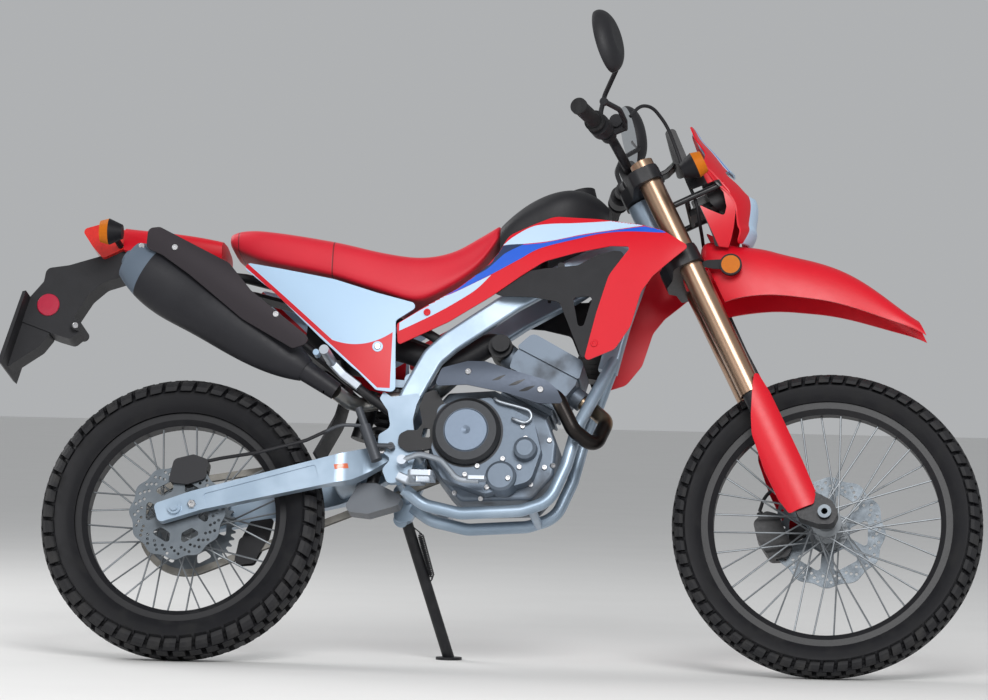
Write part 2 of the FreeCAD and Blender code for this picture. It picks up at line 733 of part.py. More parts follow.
def subframe(frame):
    """Bolted rear rails that carry the seat, the silencer and the tail."""
    radius, side = size("rail_tube"), size("rail_side")
    shapes = []
    for y in (-1, 1):
        upper = [
            at3(590, y * size("spar_side"), 722), at3(540, y * 79, 752), at3(460, y * 77, 780), at3(300, y * 78, 828),
            at3(120, y * 72, 872), at3(-120, y * 50, 899),
        ]
        lower = [at3(490, y * side, 548), at3(367, y * side, 634), at3(220, y * 84, 750), at3(60, y * 70, 876)]
        shapes += [tube(upper, radius, 80), tube(lower, radius, 80)]
    shapes.append(rod(at3(300, -78, 832), at3(300, 78, 832), 9))
    shapes.append(rod(at3(60, -70, 884), at3(60, 70, 884), 9))
    shapes.append(slab([(-150, -48, 8), (60, -66, 8), (60, 66, 8), (-150, 48, 8)], "top", 900, 907))
    made = fused(shapes).cut(frame.Shape)
    return feature("subframe", largest(made))


# Engine: closed cases as one block, the leaning cylinder and head, and the covers on both sides.
def crankcase():
    half = size("case_half")
    deck = [up_cylinder(0, -72), up_cylinder(0, 66)]
    outline = chassis([(566, 566, 12), (600, 610, 14)])
    outline += [(deck[0].x, deck[0].z, 6), (deck[1].x, deck[1].z, 8)]
    outline += chassis([(850, 500, 20), (846, 424, 30), (800, 368, 22), (640, 360, 22), (600, 402, 20), (562, 450, 20)])
    case = plate(outline, -half, half)
    edges = [edge for edge in case.Edges if len(edge.Vertexes) == 2 and abs(edge.Vertexes[0].Y - edge.Vertexes[1].Y) < 1]
    case = case.makeFillet(8, edges)
    room = size("plate_height") / 2 + 6
    recess, _ = belt(pitch_radius(REAR_TEETH) + room, pitch_radius(FRONT_TEETH) + room, size("chain_side") - 14, half + 5)
    case = case.cut(recess)
    middle, thick = size("chain_side"), size("rear_sprocket_thickness")
    spot = at(*SPROCKET_AT)
    shaft = rod((spot[0], middle - 16, spot[1]), (spot[0], middle + 9, spot[1]), 12)
    teeth = plate([(spot[0] + u, spot[1] + v) for u, v in sprocket_outline(FRONT_TEETH)], middle - thick / 2, middle + thick / 2)
    return feature("crankcase", fused([case, shaft, teeth]))


SPROCKET_AT = (598, 500)
CYLINDER_FOOT = (768, 586)


def up_cylinder(along, across, y=0.0):
    """A point of the leaning cylinder: along its bore from the cases, across it towards the front."""
    foot = at(*CYLINDER_FOOT)
    tilt = size("cylinder_tilt")
    return Vector(
        foot[0] + along * sine(tilt) + across * cosine(tilt), y, foot[1] + along * cosine(tilt) - across * sine(tilt)
    )


def bore_slab(points, half):
    """A block across the machine, its outline given as (across, along) points on the cylinder."""
    corners = [(up_cylinder(p[1], p[0], -half), p[2] if len(p) > 2 else 0) for p in points]
    wire = Part.Wire([edge.toShape() for edge in rounded_edges(corners)])
    return Part.Face(wire).extrude(Vector(0, 2 * half, 0))


def cylinder_head():
    barrel_half, head_half = size("cylinder_half"), size("head_half")
    shapes = [bore_slab([(-62, 0.3), (58, 0.3), (60, 70), (-62, 70)], barrel_half)]
    for level in (12, 27, 42, 57):
        shapes.append(bore_slab([(-68, level, 2), (66, level, 2), (66, level + 6, 2), (-68, level + 6, 2)], barrel_half + 7))
    shapes.append(bore_slab([(-74, 66, 6), (72, 66, 6), (78, 100, 8), (74, 118, 8), (-76, 118, 8), (-80, 96, 8)], head_half))
    shapes.append(bore_slab([(-82, 114, 5), (80, 114, 5), (70, 156, 16), (-66, 160, 18)], head_half + 6))
    shapes.append(rod(exhaust_port(-40), exhaust_port(0), size("pipe_radius") + 6))
    shapes.append(rod(intake_port(-44), intake_port(0), 27))
    made = fused(shapes)
    return feature("cylinder_head", made)


EXHAUST_PORT_SIDE = -8


def exhaust_port(out):
    """A point on the exhaust port's axis, by its distance out of the flange."""
    mouth = up_cylinder(84, 100, EXHAUST_PORT_SIDE)
    way = mouth - up_cylinder(90, 60, EXHAUST_PORT_SIDE)
    way.normalize()
    return mouth + way * out


def intake_port(out):
    """A point on the intake's axis, by its distance out of the head."""
    mouth = up_cylinder(100, -104)
    way = mouth - up_cylinder(90, -60)
    way.normalize()
    return mouth + way * out


def engine_covers():
    """Clutch cover, oil filter cover and water pump on the right; generator cover on the left."""
    inner = size("case_half") + 0.3
    clutch, x_off = size("clutch_cover_side"), CLUTCH_AT
    radius = size("clutch_cover_radius")
    right = [
        plate(chassis([(584, 570, 20), (700, 590, 20), (800, 540, 30), (820, 470, 20), (800, 400, 30), (700, 368, 20),
                       (600, 400, 30), (574, 470, 20)]), -engine_side(), -inner),
        turned_at(x_off, [(-inner - 5, radius), (-clutch + 12, radius - 4), (-clutch + 4, radius - 12),
                          (-clutch + 4, 50), (-clutch, 47), (-clutch, 10), (-clutch + 3, 0), (-inner - 5, 0)]),
        turned_at((734, 407), [(-inner - 5, 38), (-engine_side() - 12, 34), (-engine_side() - 16, 28),
                               (-engine_side() - 16, 0), (-inner - 5, 0)]),
        turned_at((786, 470), [(-inner - 5, 30), (-engine_side() - 22, 25), (-engine_side() - 26, 18),
                               (-engine_side() - 26, 0), (-inner - 5, 0)]),
    ]
    left_side = size("left_cover_side")
    left = [
        turned_at((700, 490), [(inner, 0), (inner, 84), (left_side - 14, 82), (left_side - 4, 72), (left_side, 50),
                               (left_side, 0)]),
    ]
    return feature("engine_covers", [fused(right), left[0]])


CLUTCH_AT = (652, 508)


def engine_side():
    return size("engine_cover_side")


def turned_at(where, profile):
    """A solid turned about a crosswise axis through a chassis point."""
    made = turned(profile)
    spot = at(*where)
    made.translate(Vector(spot[0], 0, spot[1]))
    return made


# Exhaust: a header that loops down ahead of the cases and back past the cylinder, and the silencer.
def exhaust_header():
    path = [
        tuple(exhaust_port(size("seat_gap"))), tuple(exhaust_port(30)), at3(956, -50, 560), at3(936, -92, 490), at3(890, -124, 520), at3(852, -138, 590),
        at3(780, -142, 622), at3(622, -142, 633), at3(561, -46, 612), at3(474, -50.5, 602), at3(430, -58, 590),
        at3(400, -70, 580), at3(378, -100, 579), at3(352, -140, 592),
    ]
    return feature("exhaust_header", tube(path, size("pipe_radius"), 34))


def muffler_line(along, y_out=0.0):
    """A point on the silencer's axis, by its distance ahead of the end cap."""
    cap, joint = Vector(*at3(-128, -size("muffler_side"), 882)), Vector(*at3(300, -size("muffler_side") + 16, 626))
    way = joint - cap
    way.normalize()
    return cap + way * along + Vector(0, -y_out, 0)


def oval(centre, way, tall, wide):
    """An oval section across the silencer's axis."""
    across = Vector(0, 1, 0)
    up = across.cross(way)
    up.normalize()
    side = way.cross(up)
    curve = Part.Ellipse(centre + up * tall, centre + side * wide, centre)
    return Part.Wire([curve.toShape()])


def muffler():
    radius = size("muffler_radius")
    way = muffler_line(1) - muffler_line(0)
    sections = [
        (-4, 0.64, 0.60), (10, 0.74, 0.68), (60, 0.98, 0.76), (200, 1.0, 0.76), (330, 0.90, 0.72), (430, 0.66, 0.56),
        (480, 0.40, 0.36),
    ]
    wires = [oval(muffler_line(d), way, radius * tall, radius * wide) for d, tall, wide in sections]
    body = lofted(wires)
    end = muffler_line(478)
    outlet = rod(muffler_line(-16), muffler_line(12), 17, 13)
    inlet = cone(end, Vector(*at3(354, -140, 592)) , 25, size("pipe_radius") + 3)
    ring = fused([body, inlet])
    ring = ring.cut(tube([at3(378, -100, 579), at3(352, -140, 592), at3(330, -146, 602)], size("pipe_radius") + 0.3, 5))
    recess = rod(muffler_line(-30), muffler_line(12), 17)
    return feature("muffler", fused([ring.cut(recess), outlet]))


def heat_shields(header_pipe, pipe_end):
    """The perforated guard over the header and the long guard on the silencer's outer side."""
    header = skin(
        chassis([(578, 604, 8), (592, 646, 14), (650, 664, 14), (690, 664, 10), (750, 644, 12), (826, 624, 8),
                 (852, 604, 8), (868, 574, 6), (812, 572, 14), (740, 592, 16), (650, 608, 16)]),
        lambda x, z: 168 - 0.004 * (z - at(700, 625)[1]) ** 2 - 0.0002 * (x - at(700, 625)[0]) ** 2, 3,
    )
    lugs = [rod(at3(x, -159.4, z), at3(x, -165.5, z), 7) for x, z in ((640, 634), (790, 620))]
    side = size("muffler_side")
    guard = skin(
        chassis([(-84, 942, 14), (-58, 946, 14), (104, 866, 30), (160, 800, 30), (310, 684, 14), (262, 668, 14),
                 (143, 735, 40), (16, 836, 20), (-48, 880, 14), (-86, 896, 14)]),
        lambda x, z: side + 56 - 0.0035 * ((x - at(100, 790)[0]) * 0.53 + (z - at(100, 790)[1]) * 0.85 - 20) ** 2, 5,
    )
    for x, z in ((60, 826), (230, 715)):
        guard = fused([guard, rod(at3(x, -side - 54, z), at3(x, -side - 24, z), 8)])
    guard = largest(guard.cut(pipe_end.Shape))
    shield = largest(fused([header] + lugs).cut(header_pipe.Shape))
    return feature("heat_shields", [shield, guard])


# Rear suspension: box-section swingarm, shock absorber with its spring, and the chain run.
def arm_line(along, rise=0.0):
    """A side-view point on the swingarm's middle line, by its distance ahead of the axle."""
    way = pivot - rear_axle
    way.normalize()
    return (rear_axle.x + way.x * along - way.z * rise, rear_axle.z + way.z * along + way.x * rise)


def swingarm():
    outer, wall = size("arm_outer"), size("arm_wall")
    length = (pivot - rear_axle).Length
    narrow, boss = size("plate_side") - 2, size("arm_pivot_radius")
    side = [
        arm_line(-44, 23) + (12,), arm_line(45, 27) + (60,), arm_line(395, 15) + (90,), arm_line(length + boss, boss) + (14,),
        arm_line(length + boss, -boss) + (14,), arm_line(length - 40, -boss - 4) + (60,), arm_line(395, -49) + (80,),
        arm_line(60, -21) + (90,), arm_line(-44, -22) + (12,),
    ]
    top = [
        (-60, outer - wall), (340, outer - wall, 60), (400, narrow - 34, 40), (560, narrow - 34), (560, narrow),
        (430, narrow, 60), (370, outer, 60), (-60, outer),
    ]
    leg = plate(side, 0, outer + 10).common(slab(top, "top", 150, 700))
    recess = plate([arm_line(70, 13) + (6,), arm_line(330, 6) + (6,), arm_line(330, -26) + (6,), arm_line(70, -13) + (6,)],
                   outer - 3, outer + 5)
    leg = leg.cut(recess)
    shapes = mirrored(leg)
    shapes.append(plate([arm_line(350, 14) + (10,), arm_line(408, 13) + (10,), arm_line(408, -42) + (10,),
                         arm_line(350, -38) + (14,)], -(outer - wall) - 2, outer - wall + 2))
    shapes.append(rod((pivot.x, -narrow, pivot.z), (pivot.x, narrow, pivot.z), boss))
    made = fused(shapes)
    reach = size("plate_side") + size("pivot_plate")
    bolt = rod((pivot.x, -reach - 1, pivot.z), (pivot.x, reach + 1, pivot.z), size("pivot_bolt"))
    heads = [rod((pivot.x, y * (reach + 0.3), pivot.z), (pivot.x, y * (reach + 9), pivot.z), 17) for y in (-1, 1)]
    axle = size("rear_axle_radius")
    spindle = [rod((0, -outer - 14, rear_z), (0, outer + 14, rear_z), axle)]
    collar_right = size("rear_disc_side") + size("disc_thickness") / 2 + size("seat_gap")
    collar_left = size("chain_side") + size("rear_sprocket_thickness") / 2 + size("seat_gap")
    spindle.append(rod((0, -outer + wall - 1, rear_z), (0, -collar_right, rear_z), axle + 5))
    spindle.append(rod((0, outer - wall + 1, rear_z), (0, collar_left, rear_z), axle + 5))
    for y in (-1, 1):
        spindle.append(rod((0, y * outer, rear_z), (0, y * (outer + 9), rear_z), 15))
    return feature("swingarm", fused([made, bolt] + heads + spindle))


def shock():
    """Spring and damper from the frame's cross tube to the rocker under the swingarm."""
    top, bottom = Vector(*at3(472, 0, 636)), Vector(*at3(424, 0, 402))
    way = bottom - top
    length = way.Length
    radius, wire = size("shock_radius"), size("shock_wire")
    turns = 8
    pitch = (length * 0.62) / turns
    profile = [(0, 0), (16, 0), (16, 0.12 * length), (30, 0.12 * length), (30, 0.16 * length)]
    for i in range(turns):
        start = 0.16 * length + i * pitch
        profile += [(22, start + 1), (radius, start + pitch / 2 - wire / 3), (radius, start + pitch / 2 + wire / 3)]
    last = 0.16 * length + turns * pitch
    profile += [(22, last), (30, last + 2), (30, last + 8), (14, last + 9), (14, length), (0, length)]
    wire_of = Part.makePolygon([Vector(p[0], 0, p[1]) for p in profile] + [Vector(profile[0][0], 0, profile[0][1])])
    body = Part.Face(wire_of).revolve(Vector(0, 0, 0), Vector(0, 0, 1), 360)
    body.Placement = Placement(top, Rotation(Vector(0, 0, 1), way))
    eye = rod(at3(424, -20, 402), at3(424, 20, 402), 15)
    crown = rod(at3(472, -SHOCK_EYE_HALF, 636), at3(472, SHOCK_EYE_HALF, 636), 15)
    rocker = plate(chassis([(366, 346, 14), (400, 410, 12), (436, 414, 12), (500, 384, 12), (492, 362, 12), (424, 340, 20)]),
                   -26, 26)
    rocker = rocker.cut(plate(chassis([(390, 372), (392, 440), (450, 440), (470, 380), (440, 366)]), -19, 19))
    bottle = rod(at3(414, 44, 640), at3(384, 44, 530), 20)
    strut = rod(at3(466, 6, 606), at3(408, 40, 612), 10)
    return feature("shock", fused([body, eye, crown, rocker, bottle, strut]))


def pitch_radius(teeth):
    return size("chain_pitch") / (2 * sine(180 / teeth))


def belt(rear_radius, front_radius, low, high):
    """A solid round both sprockets: two arcs joined by their common tangents."""
    rear = Vector(rear_axle.x, low, rear_axle.z)
    spot = at(*SPROCKET_AT)
    front = Vector(spot[0], low, spot[1])
    way = front - rear
    base = math.atan2(way.z, way.x)
    spread = math.acos((rear_radius - front_radius) / way.Length)

    def on(centre, radius, angle):
        return centre + Vector(radius * math.cos(angle), 0, radius * math.sin(angle))

    above, below = base + spread, base - spread
    edges = [
        Part.Arc(on(rear, rear_radius, above), on(rear, rear_radius, base + math.pi), on(rear, rear_radius, below)),
        Part.LineSegment(on(rear, rear_radius, below), on(front, front_radius, below)),
        Part.Arc(on(front, front_radius, below), on(front, front_radius, base), on(front, front_radius, above)),
        Part.LineSegment(on(front, front_radius, above), on(rear, rear_radius, above)),
    ]
    wire = Part.Wire([edge.toShape() for edge in edges])
    return Part.Face(wire).extrude(Vector(0, high - low, 0)), (on, rear, front, above, below)


def chain():
    """One fixed loop: link plates on both sides of the teeth, and rollers along the straight runs."""
    rear, front = pitch_radius(REAR_TEETH), pitch_radius(FRONT_TEETH)
    half = size("plate_height") / 2
    middle, gap, thick = size("chain_side"), size("inner_width") / 2, 2 * size("plate_thickness")
    shapes = []
    for low in (middle - gap - thick, middle + gap):
        outer, _ = belt(rear + half, front + half, low, low + thick)
        inner, line = belt(rear - half, front - half, low - 1, low + thick + 1)
        shapes.append(outer.cut(inner))
    on, rear_spot, front_spot, above, below = line
    for angle in (above, below):
        start, end = on(rear_spot, rear, angle), on(front_spot, front, angle)
        run = end - start
        count = int((run.Length - ROLLER_START - ROLLER_END) / (3 * size("chain_pitch")))
        for i in range(count + 1):
            spot = start + run * ((ROLLER_START + 3 * i * size("chain_pitch")) / run.Length)
            across = Vector(0, 2 * gap + 2, 0)
            section = Part.makePolygon(hexagon(spot + Vector(0, middle - gap - 1 - spot.y, 0), across, size("roller_radius")))
            shapes.append(Part.Face(section).extrude(across))
    return feature("chain", fused(shapes))


ROLLER_START = 54
ROLLER_END = 36


def chain_guides():
    """The block that steers the lower run onto the sprocket, and the rubbing strip on the arm."""
    middle = size("chain_side")
    inner = size("arm_outer") - size("arm_wall") - size("seat_gap")
    outline = chassis([(112, 236, 12), (156, 240, 12), (186, 300, 12), (196, 352, 8), (140, 342, 8), (122, 300, 14)])
    cheek = plate(outline, inner - 4, inner)
    near = plate(chassis([(112, 236, 12), (156, 240, 12), (184, 292, 4), (178, 306, 4), (122, 300, 14)]),
                 middle - 12.5, middle - 10)
    bridge = plate(chassis([(114, 236, 3), (156, 246, 3), (160, 260, 3), (118, 243, 3)]), middle - 12.5, inner)
    return feature("chain_guides", fused([cheek, near, bridge]))


def rear_brake():
    """Caliper over the disc, master cylinder by the right pivot plate, and the hose between them."""
    disc, thick, gap = size("rear_disc_side"), size("disc_thickness"), size("disc_gap")
    outer = size("arm_outer") - size("arm_wall") - size("seat_gap")
    body = plate([(-24, rear_z + 66, 10), (-14, rear_z + 120, 14), (30, rear_z + 132, 10), (66, rear_z + 120, 12),
                  (60, rear_z + 76, 12), (20, rear_z + 62, 10)], -outer, -disc + 22)
    slot_low, slot_high = -disc - thick / 2 - gap, -disc + thick / 2 + gap
    slot = rod((0, slot_low, rear_z), (0, slot_high, rear_z), size("rear_disc_radius") + gap)
    body = body.cut(slot)
    side = size("plate_side") + size("pivot_plate") + 16
    master = rod(at3(420, -side, 520), at3(452, -side, 440), 13)
    pot = rod(at3(404, -side, 560), at3(420, -side, 520), 9)
    link = rod(at3(436, -side, 474), at3(486, -side, 474), 6)
    foot = rod(at3(482, -side - 5, 474), at3(482, -side + 15.7, 474), 8)
    start = Vector(50, -outer + 8, rear_z + 116)
    hose = tube([start, (96, -outer - 2, rear_z + 124), (180, -outer - 34, rear_z + 130), (290, -outer - 38, rear_z + 160),
                 (366, -side - 10, rear_z + 196), at3(418, -side, 520)], size("rear_hose_radius"), 60)
    return feature("rear_brake", fused([body, hose, pot, master, link, foot]))


def radiator(frame):
    """The finned core on the left, hung from the left spar."""
    core = plate(chassis([(868, 700, 6), (930, 690, 6), (954, 872, 6), (892, 884, 6)]), 76, 122)
    fins = []
    for level in range(706, 890, 12):
        fins.append(plate(chassis([(866, level), (962, level), (962, level + 5), (866, level + 5)]), 50, 144))
    fins = [fin.common(plate(chassis([(865, 704), (933, 694), (956, 868), (890, 878)]), 74, 125)) for fin in fins]
    hang = rod(at3(905, 78, 904), at3(908, 84, 868), 8)
    return feature("radiator", largest(fused([core] + fins + [hang]).cut(frame.Shape)))


def fuel_tank(frame):
    """Tank and its plastic top cover, with the locking cap."""
    stations = [
        (698, 74, 922, 84, 990, 1022, 0.55), (722, 84, 918, 93, 1010, 1046, 0.55), (776, 94, 926, 99, 1046, 1084, 0.6),
        (846, 96, 952, 99, 1074, 1104, 0.65), (896, 70, 996, 74, 1068, 1100, 0.65), (938, 40, 1020, 45, 1044, 1070, 0.6),
    ]
    wires = []
    for x, bottom_half, bottom, side_half, side, top, crown in stations:
        spot = at(x, bottom)
        rise = spot[1] - bottom
        wires.append(ring_section(spot[0], bottom_half, bottom + rise, side_half, side + rise, top + rise, crown))
    cap = rod(at3(872, 0, 1092), at3(866, 0, 1113), 34)
    feet = [rod(at3(800, y * 76, 870), at3(800, y * 76, 936), 9) for y in (-1, 1)]
    return feature("fuel_tank", largest(fused([lofted(wires), cap] + feet).cut(frame.Shape)))


def shroud_depth(x, z):
    """How far the tank shrouds stand out: a narrow waist at the seat, wide at the fork."""
    start, end = at(520, 0)[0], at(1060, 0)[0]
    share = min(max((x - start) / (end - start), 0), 1)
    out = size("shroud_waist") + (size("shroud_half") - size("shroud_waist")) * share ** 1.3
    over = z - at(x, 900)[1]
    tuck = 0.0022 * over ** 2 if over > 0 else 0.0003 * over ** 2
    return out - tuck


def tank_shrouds():
    outline = chassis([
        (482, 712, 6), (596, 766, 30), (690, 824, 60), (757, 872, 60), (808, 905, 60), (880, 925, 60), (958, 940, 14),
        (1004, 938, 6), (956, 870, 60), (932, 786, 60), (906, 674, 8), (976, 702, 30), (1010, 752, 40), (1031, 832, 40),
        (1056, 868, 30), (1134, 938, 8), (1072, 978, 60), (1020, 994, 60), (924, 1011, 120), (822, 1020, 50),
        (776, 998, 50), (724, 970, 40), (702, 926, 40), (674, 890, 60), (612, 842, 60), (540, 800, 60), (478, 760, 8),
    ])
    panel = skin(outline, shroud_depth, size("skin"), grid=(9, 7))
    return feature("tank_shrouds", mirrored(panel))


def shroud_supports():
    """Dark inner panels that carry the shrouds over the frame spars, with their open window."""
    outline = chassis([
        (688, 836, 8), (750, 880, 30), (812, 890, 30), (884, 896, 30), (930, 922, 20), (966, 930, 10), (992, 926, 10),
        (962, 872, 40), (940, 790, 40), (914, 690, 8), (902, 682, 8), (872, 752, 10), (846, 812, 16), (784, 824, 20),
        (716, 826, 20),
    ])
    window = chassis([(876, 822, 8), (922, 824, 8), (896, 730, 8)])
    lift = size("skin") + 1.2

    def depth(x, z):
        return shroud_depth(x, z) - lift

    panel = skin(outline, depth, size("skin"), grid=(8, 6))
    panel = panel.cut(plate(window, -300, 0))
    spar = size("spar_side") + size("spar_width") / 2 + 1.4
    tabs = [rod(at3(740, -spar, 848), at3(740, -size("shroud_waist") - 2, 848), 8)]
    tabs.append(rod(at3(846, -spar, 896), at3(846, -size("shroud_half") + 34, 896), 8))
    return feature("shroud_supports", mirrored(fused([panel] + tabs)))


def seat(rails):
    """Long two-up seat on its base, rising over the rear of the tank."""
    stations = [
        (72, 74, 944, 82, 966, 990), (160, 98, 910, 106, 962, 988), (320, 110, 874, 112, 934, 966),
        (440, 110, 838, 106, 911, 942), (520, 104, 822, 98, 904, 936), (590, 92, 858, 84, 910, 956),
        (650, 74, 912, 68, 944, 996), (696, 60, 988, 54, 1006, 1026),
    ]
    wires = []
    for x, bottom_half, bottom, side_half, side, top in stations:
        spot = at(x, bottom)
        rise = spot[1] - bottom
        share = size("seat_half") / 118
        wires.append(ring_section(spot[0], bottom_half * share, bottom + rise, side_half * share, side + rise, top + rise))
    feet = []
    for x, z in ((300, 890), (140, 935)):
        feet += [rod(at3(x, y * 76, z - 70), at3(x, y * 76, z), 9) for y in (-1, 1)]
    return feature("seat", largest(fused([lofted(wires)] + feet).cut(rails.Shape)))


def cover_depth(x, z):
    middle = at(300, 790)
    return size("cover_half") - 20 - 0.00022 * (x - middle[0]) ** 2 - 0.0004 * (z - middle[1] + 60) ** 2


def side_covers(cases, arm):
    """Panels under the seat, and the heel guards over the pivot bolt's ends."""
    outline = chassis([
        (96, 904, 10), (204, 884, 120), (330, 860, 120), (430, 830, 60), (530, 806, 10), (476, 766, 10), (484, 600, 12),
        (440, 604, 12), (398, 644, 14), (382, 656, 14), (306, 722, 60), (196, 826, 60),
    ])
    panel = skin(outline, cover_depth, size("skin"))
    lugs = []
    for x, z, rail in ((300, 687, 89), (200, 861, 75)):
        start = rail + size("rail_tube") + size("seat_gap")
        lugs.append(rod(at3(x, -start, z), at3(x, 2 - cover_depth(*at(x, z)), z), 7))
    base = size("plate_side") + size("pivot_plate") + size("seat_gap")
    heel = chassis([(550, 600, 6), (574, 610, 10), (597, 576, 14), (584, 540, 10), (604, 494, 8), (584, 474, 12),
                    (534, 467, 8), (518, 464, 20), (496, 478, 16), (497, 504, 16), (516, 514, 8), (538, 514, 8),
                    (549, 530, 10), (540, 568, 14)])
    window = chassis([(548, 498, 4), (568, 498, 4), (566, 520, 4), (552, 520, 4)])
    guards = []
    for guard in mirrored(plate(heel, base, base + 9).cut(plate(window, base - 1, base + 10))):
        guards.append(largest(guard.cut(cases.Shape).cut(arm.Shape)))
    return feature("side_covers", mirrored(fused([panel] + lugs)) + guards)


def airbox(head):
    """Air cleaner case under the seat, its duct to the cylinder, and the inner mudguard."""
    box = plate(chassis([(262, 700, 20), (390, 680, 14), (430, 690, 14), (440, 776, 12), (270, 822, 12)]), -60, 60)
    duct = tube([at3(430, -10, 740), at3(500, -10, 722), at3(590, -6, 690), tuple(intake_port(50)), tuple(intake_port(size("seat_gap")))], 27, 80)
    flap = plate(chassis([(296, 470), (301, 470), (346, 560, 60), (364, 640, 60), (338, 730), (333, 730),
                          (359, 640, 60), (341, 560, 60)]), -58, 58)
    tray = plate(chassis([(292, 806), (292, 814), (80, 864, 60), (-60, 882), (-60, 876), (80, 858, 60)]), -32, 32)
    body = [rod(at3(706, -44, 734), at3(706, 36, 734), 27), rod(at3(709, -44, 736), at3(709, -62, 736), 20)]
    return feature("airbox", largest(fused([box, duct, flap, tray] + body).cut(head.Shape)))


def tail_fender():
    stations = [
        (60, 66, 914, 76, 950, 968), (-20, 70, 918, 78, 962, 984), (-100, 66, 926, 72, 972, 994),
        (-172, 52, 942, 58, 982, 1004),
    ]
    wires = [ring_section(at(x, 0)[0], b, low, s, side, top) for x, b, low, s, side, top in stations]
    feet = [rod((0, y * 38, 907.3), (0, y * 38, 930), 9) for y in (-1, 1)]
    return feature("tail_fender", fused([lofted(wires)] + feet))


def plate_bracket(tail, light):
    """Number plate carrier under the tail: arm, mudflap and the blank board."""
    arm = plate([(-153, 952), (-200, 952), (-206, 938), (-244, 926, 10), (-300, 908, 40), (-352, 900, 16), (-356, 868, 14), (-392, 822, 20),
                 (-412, 776, 10), (-320, 742, 14), (-284, 732, 14), (-262, 752, 10), (-282, 782, 20), (-250, 838, 40),
                 (-218, 868, 30), (-182, 880, 20), (-153, 890, 8)], -34, 34)
    arm = largest(arm.cut(tail.Shape).cut(light.Shape))
    flap = plate([(-384, 830), (-392, 828), (-436, 662), (-428, 656)], -88, 88)
    fin = plate([(-400, 790, 6), (-420, 705, 10), (-432, 660, 3), (-356, 714, 12), (-330, 750, 10)], -30, 30)
    stop = rod((-270, -50, 762), (-270, 50, 762), 12)
    return feature("plate_bracket", fused([arm, flap, fin, stop]))


def tail_light():
    outline = [(-274, 990, 10), (-235, 1002, 14), (-190, 1006, 8), (-172.3, 988), (-172.3, 946), (-184, 940, 6), (-220, 922, 8),
               (-246, 950, 20)]
    return feature("tail_light", plate(outline, -48, 48))


def pod(centre, face, radius, depth):
    """A rounded lamp body with its lens forward along the face direction."""
    centre, face = Vector(*centre), Vector(*face)
    face.normalize()
    back = Part.makeCone(radius * 0.55, radius, depth * 0.6, centre - face * depth * 0.6, face)
    lens = Part.makeCone(radius, radius * 0.82, depth * 0.4, centre, face)
    return back.fuse(lens)


def rear_indicators():
    lamps = []
    for y in (-1, 1):
        lamp = pod((-186, y * 158, 952), (-1, 0, 0), size("lamp_radius"), 50)
        lamps.append(fused([lamp, rod((-181, y * 48.3, 952), (-181, y * 140, 952), 7)]))
    return feature("rear_indicators", lamps)


# Rider's feet: pegs for two, the brake pedal and the gear lever.
def foot_pegs():
    side, length = size("peg_side"), size("peg_length")
    base = size("plate_side") + size("pivot_plate") + size("seat_gap")
    made = []
    for y in (-1, 1):
        low, high = sorted((y * (side - length / 2), y * (side + length / 2)))
        deck = slab([chassis_x(534) + (low, 8), chassis_x(590) + (low, 8), chassis_x(590) + (high, 8),
                     chassis_x(534) + (high, 8)], "top", at(560, 388)[1], at(560, 400)[1])
        hole = slab([chassis_x(544) + (low + 12, 4), chassis_x(580) + (low + 12, 4), chassis_x(580) + (high - 12, 4),
                     chassis_x(544) + (high - 12, 4)], "top", 300, 500)
        arm = beam([at3(500, y * (base + 8), 408), at3(528, y * (base + 8), 396), at3(562, y * (side - length / 2 + 4), 392)],
                   16, 20, 4, 20)
        rail = size("rail_side") + size("rail_tube") + size("seat_gap") + 6
        rear_arm = beam([at3(400, y * rail, 612), at3(362, y * rail, 640), at3(330, y * (rail + 2), 672)], 12, 20, 4, 20)
        rear_peg = rod(at3(336, y * (rail - 4), 668), at3(330, y * 204, 672), 11)
        made += [fused([deck.cut(hole), arm]), fused([rear_arm, rear_peg])]
    return feature("foot_pegs", made)


def chassis_x(x):
    return (at(x, 0)[0],)


def foot_levers():
    base = size("plate_side") + size("pivot_plate") + size("seat_gap")
    pedal = tube([at3(510, -base - 24, 440), at3(552, -base - 38, 452), at3(600, -base - 52, 436), at3(642, -170, 388),
                  at3(690, -172, 386)], 6.5, 40)
    hub = rod(at3(510, -base, 440), at3(510, -base - 32, 440), 11)
    pad = slab([chassis_x(664) + (-188, 5), chassis_x(706) + (-188, 5), chassis_x(706) + (-160, 5), chassis_x(664) + (-160, 5)],
               "top", at(680, 386)[1], at(680, 394)[1])
    spindle = rod(at3(604, size("case_half") + 0.3, 424), at3(604, 122, 424), 8)
    gear = tube([at3(604, 116, 424), at3(660, 132, 408), at3(716, 140, 404)], 6, 40)
    knob = rod(at3(716, 132, 404), at3(716, 176, 404), 9)
    return feature("foot_levers", [fused([pedal, hub, pad]), fused([spindle, gear, knob])])


# Steering: everything from here is drawn in the steering frame, (u, y, w) from the middle of the head tube.
def across(points, low, high):
    """A slab across the machine, its outline given as (u, w) points of the steering frame."""
    return plate(points, low, high)


def level(points, low, high):
    """A slab square to the steering axis, its outline given as (u, y) points."""
    return slab(points, "top", low, high)


def fork_line():
    return size("fork_lead")


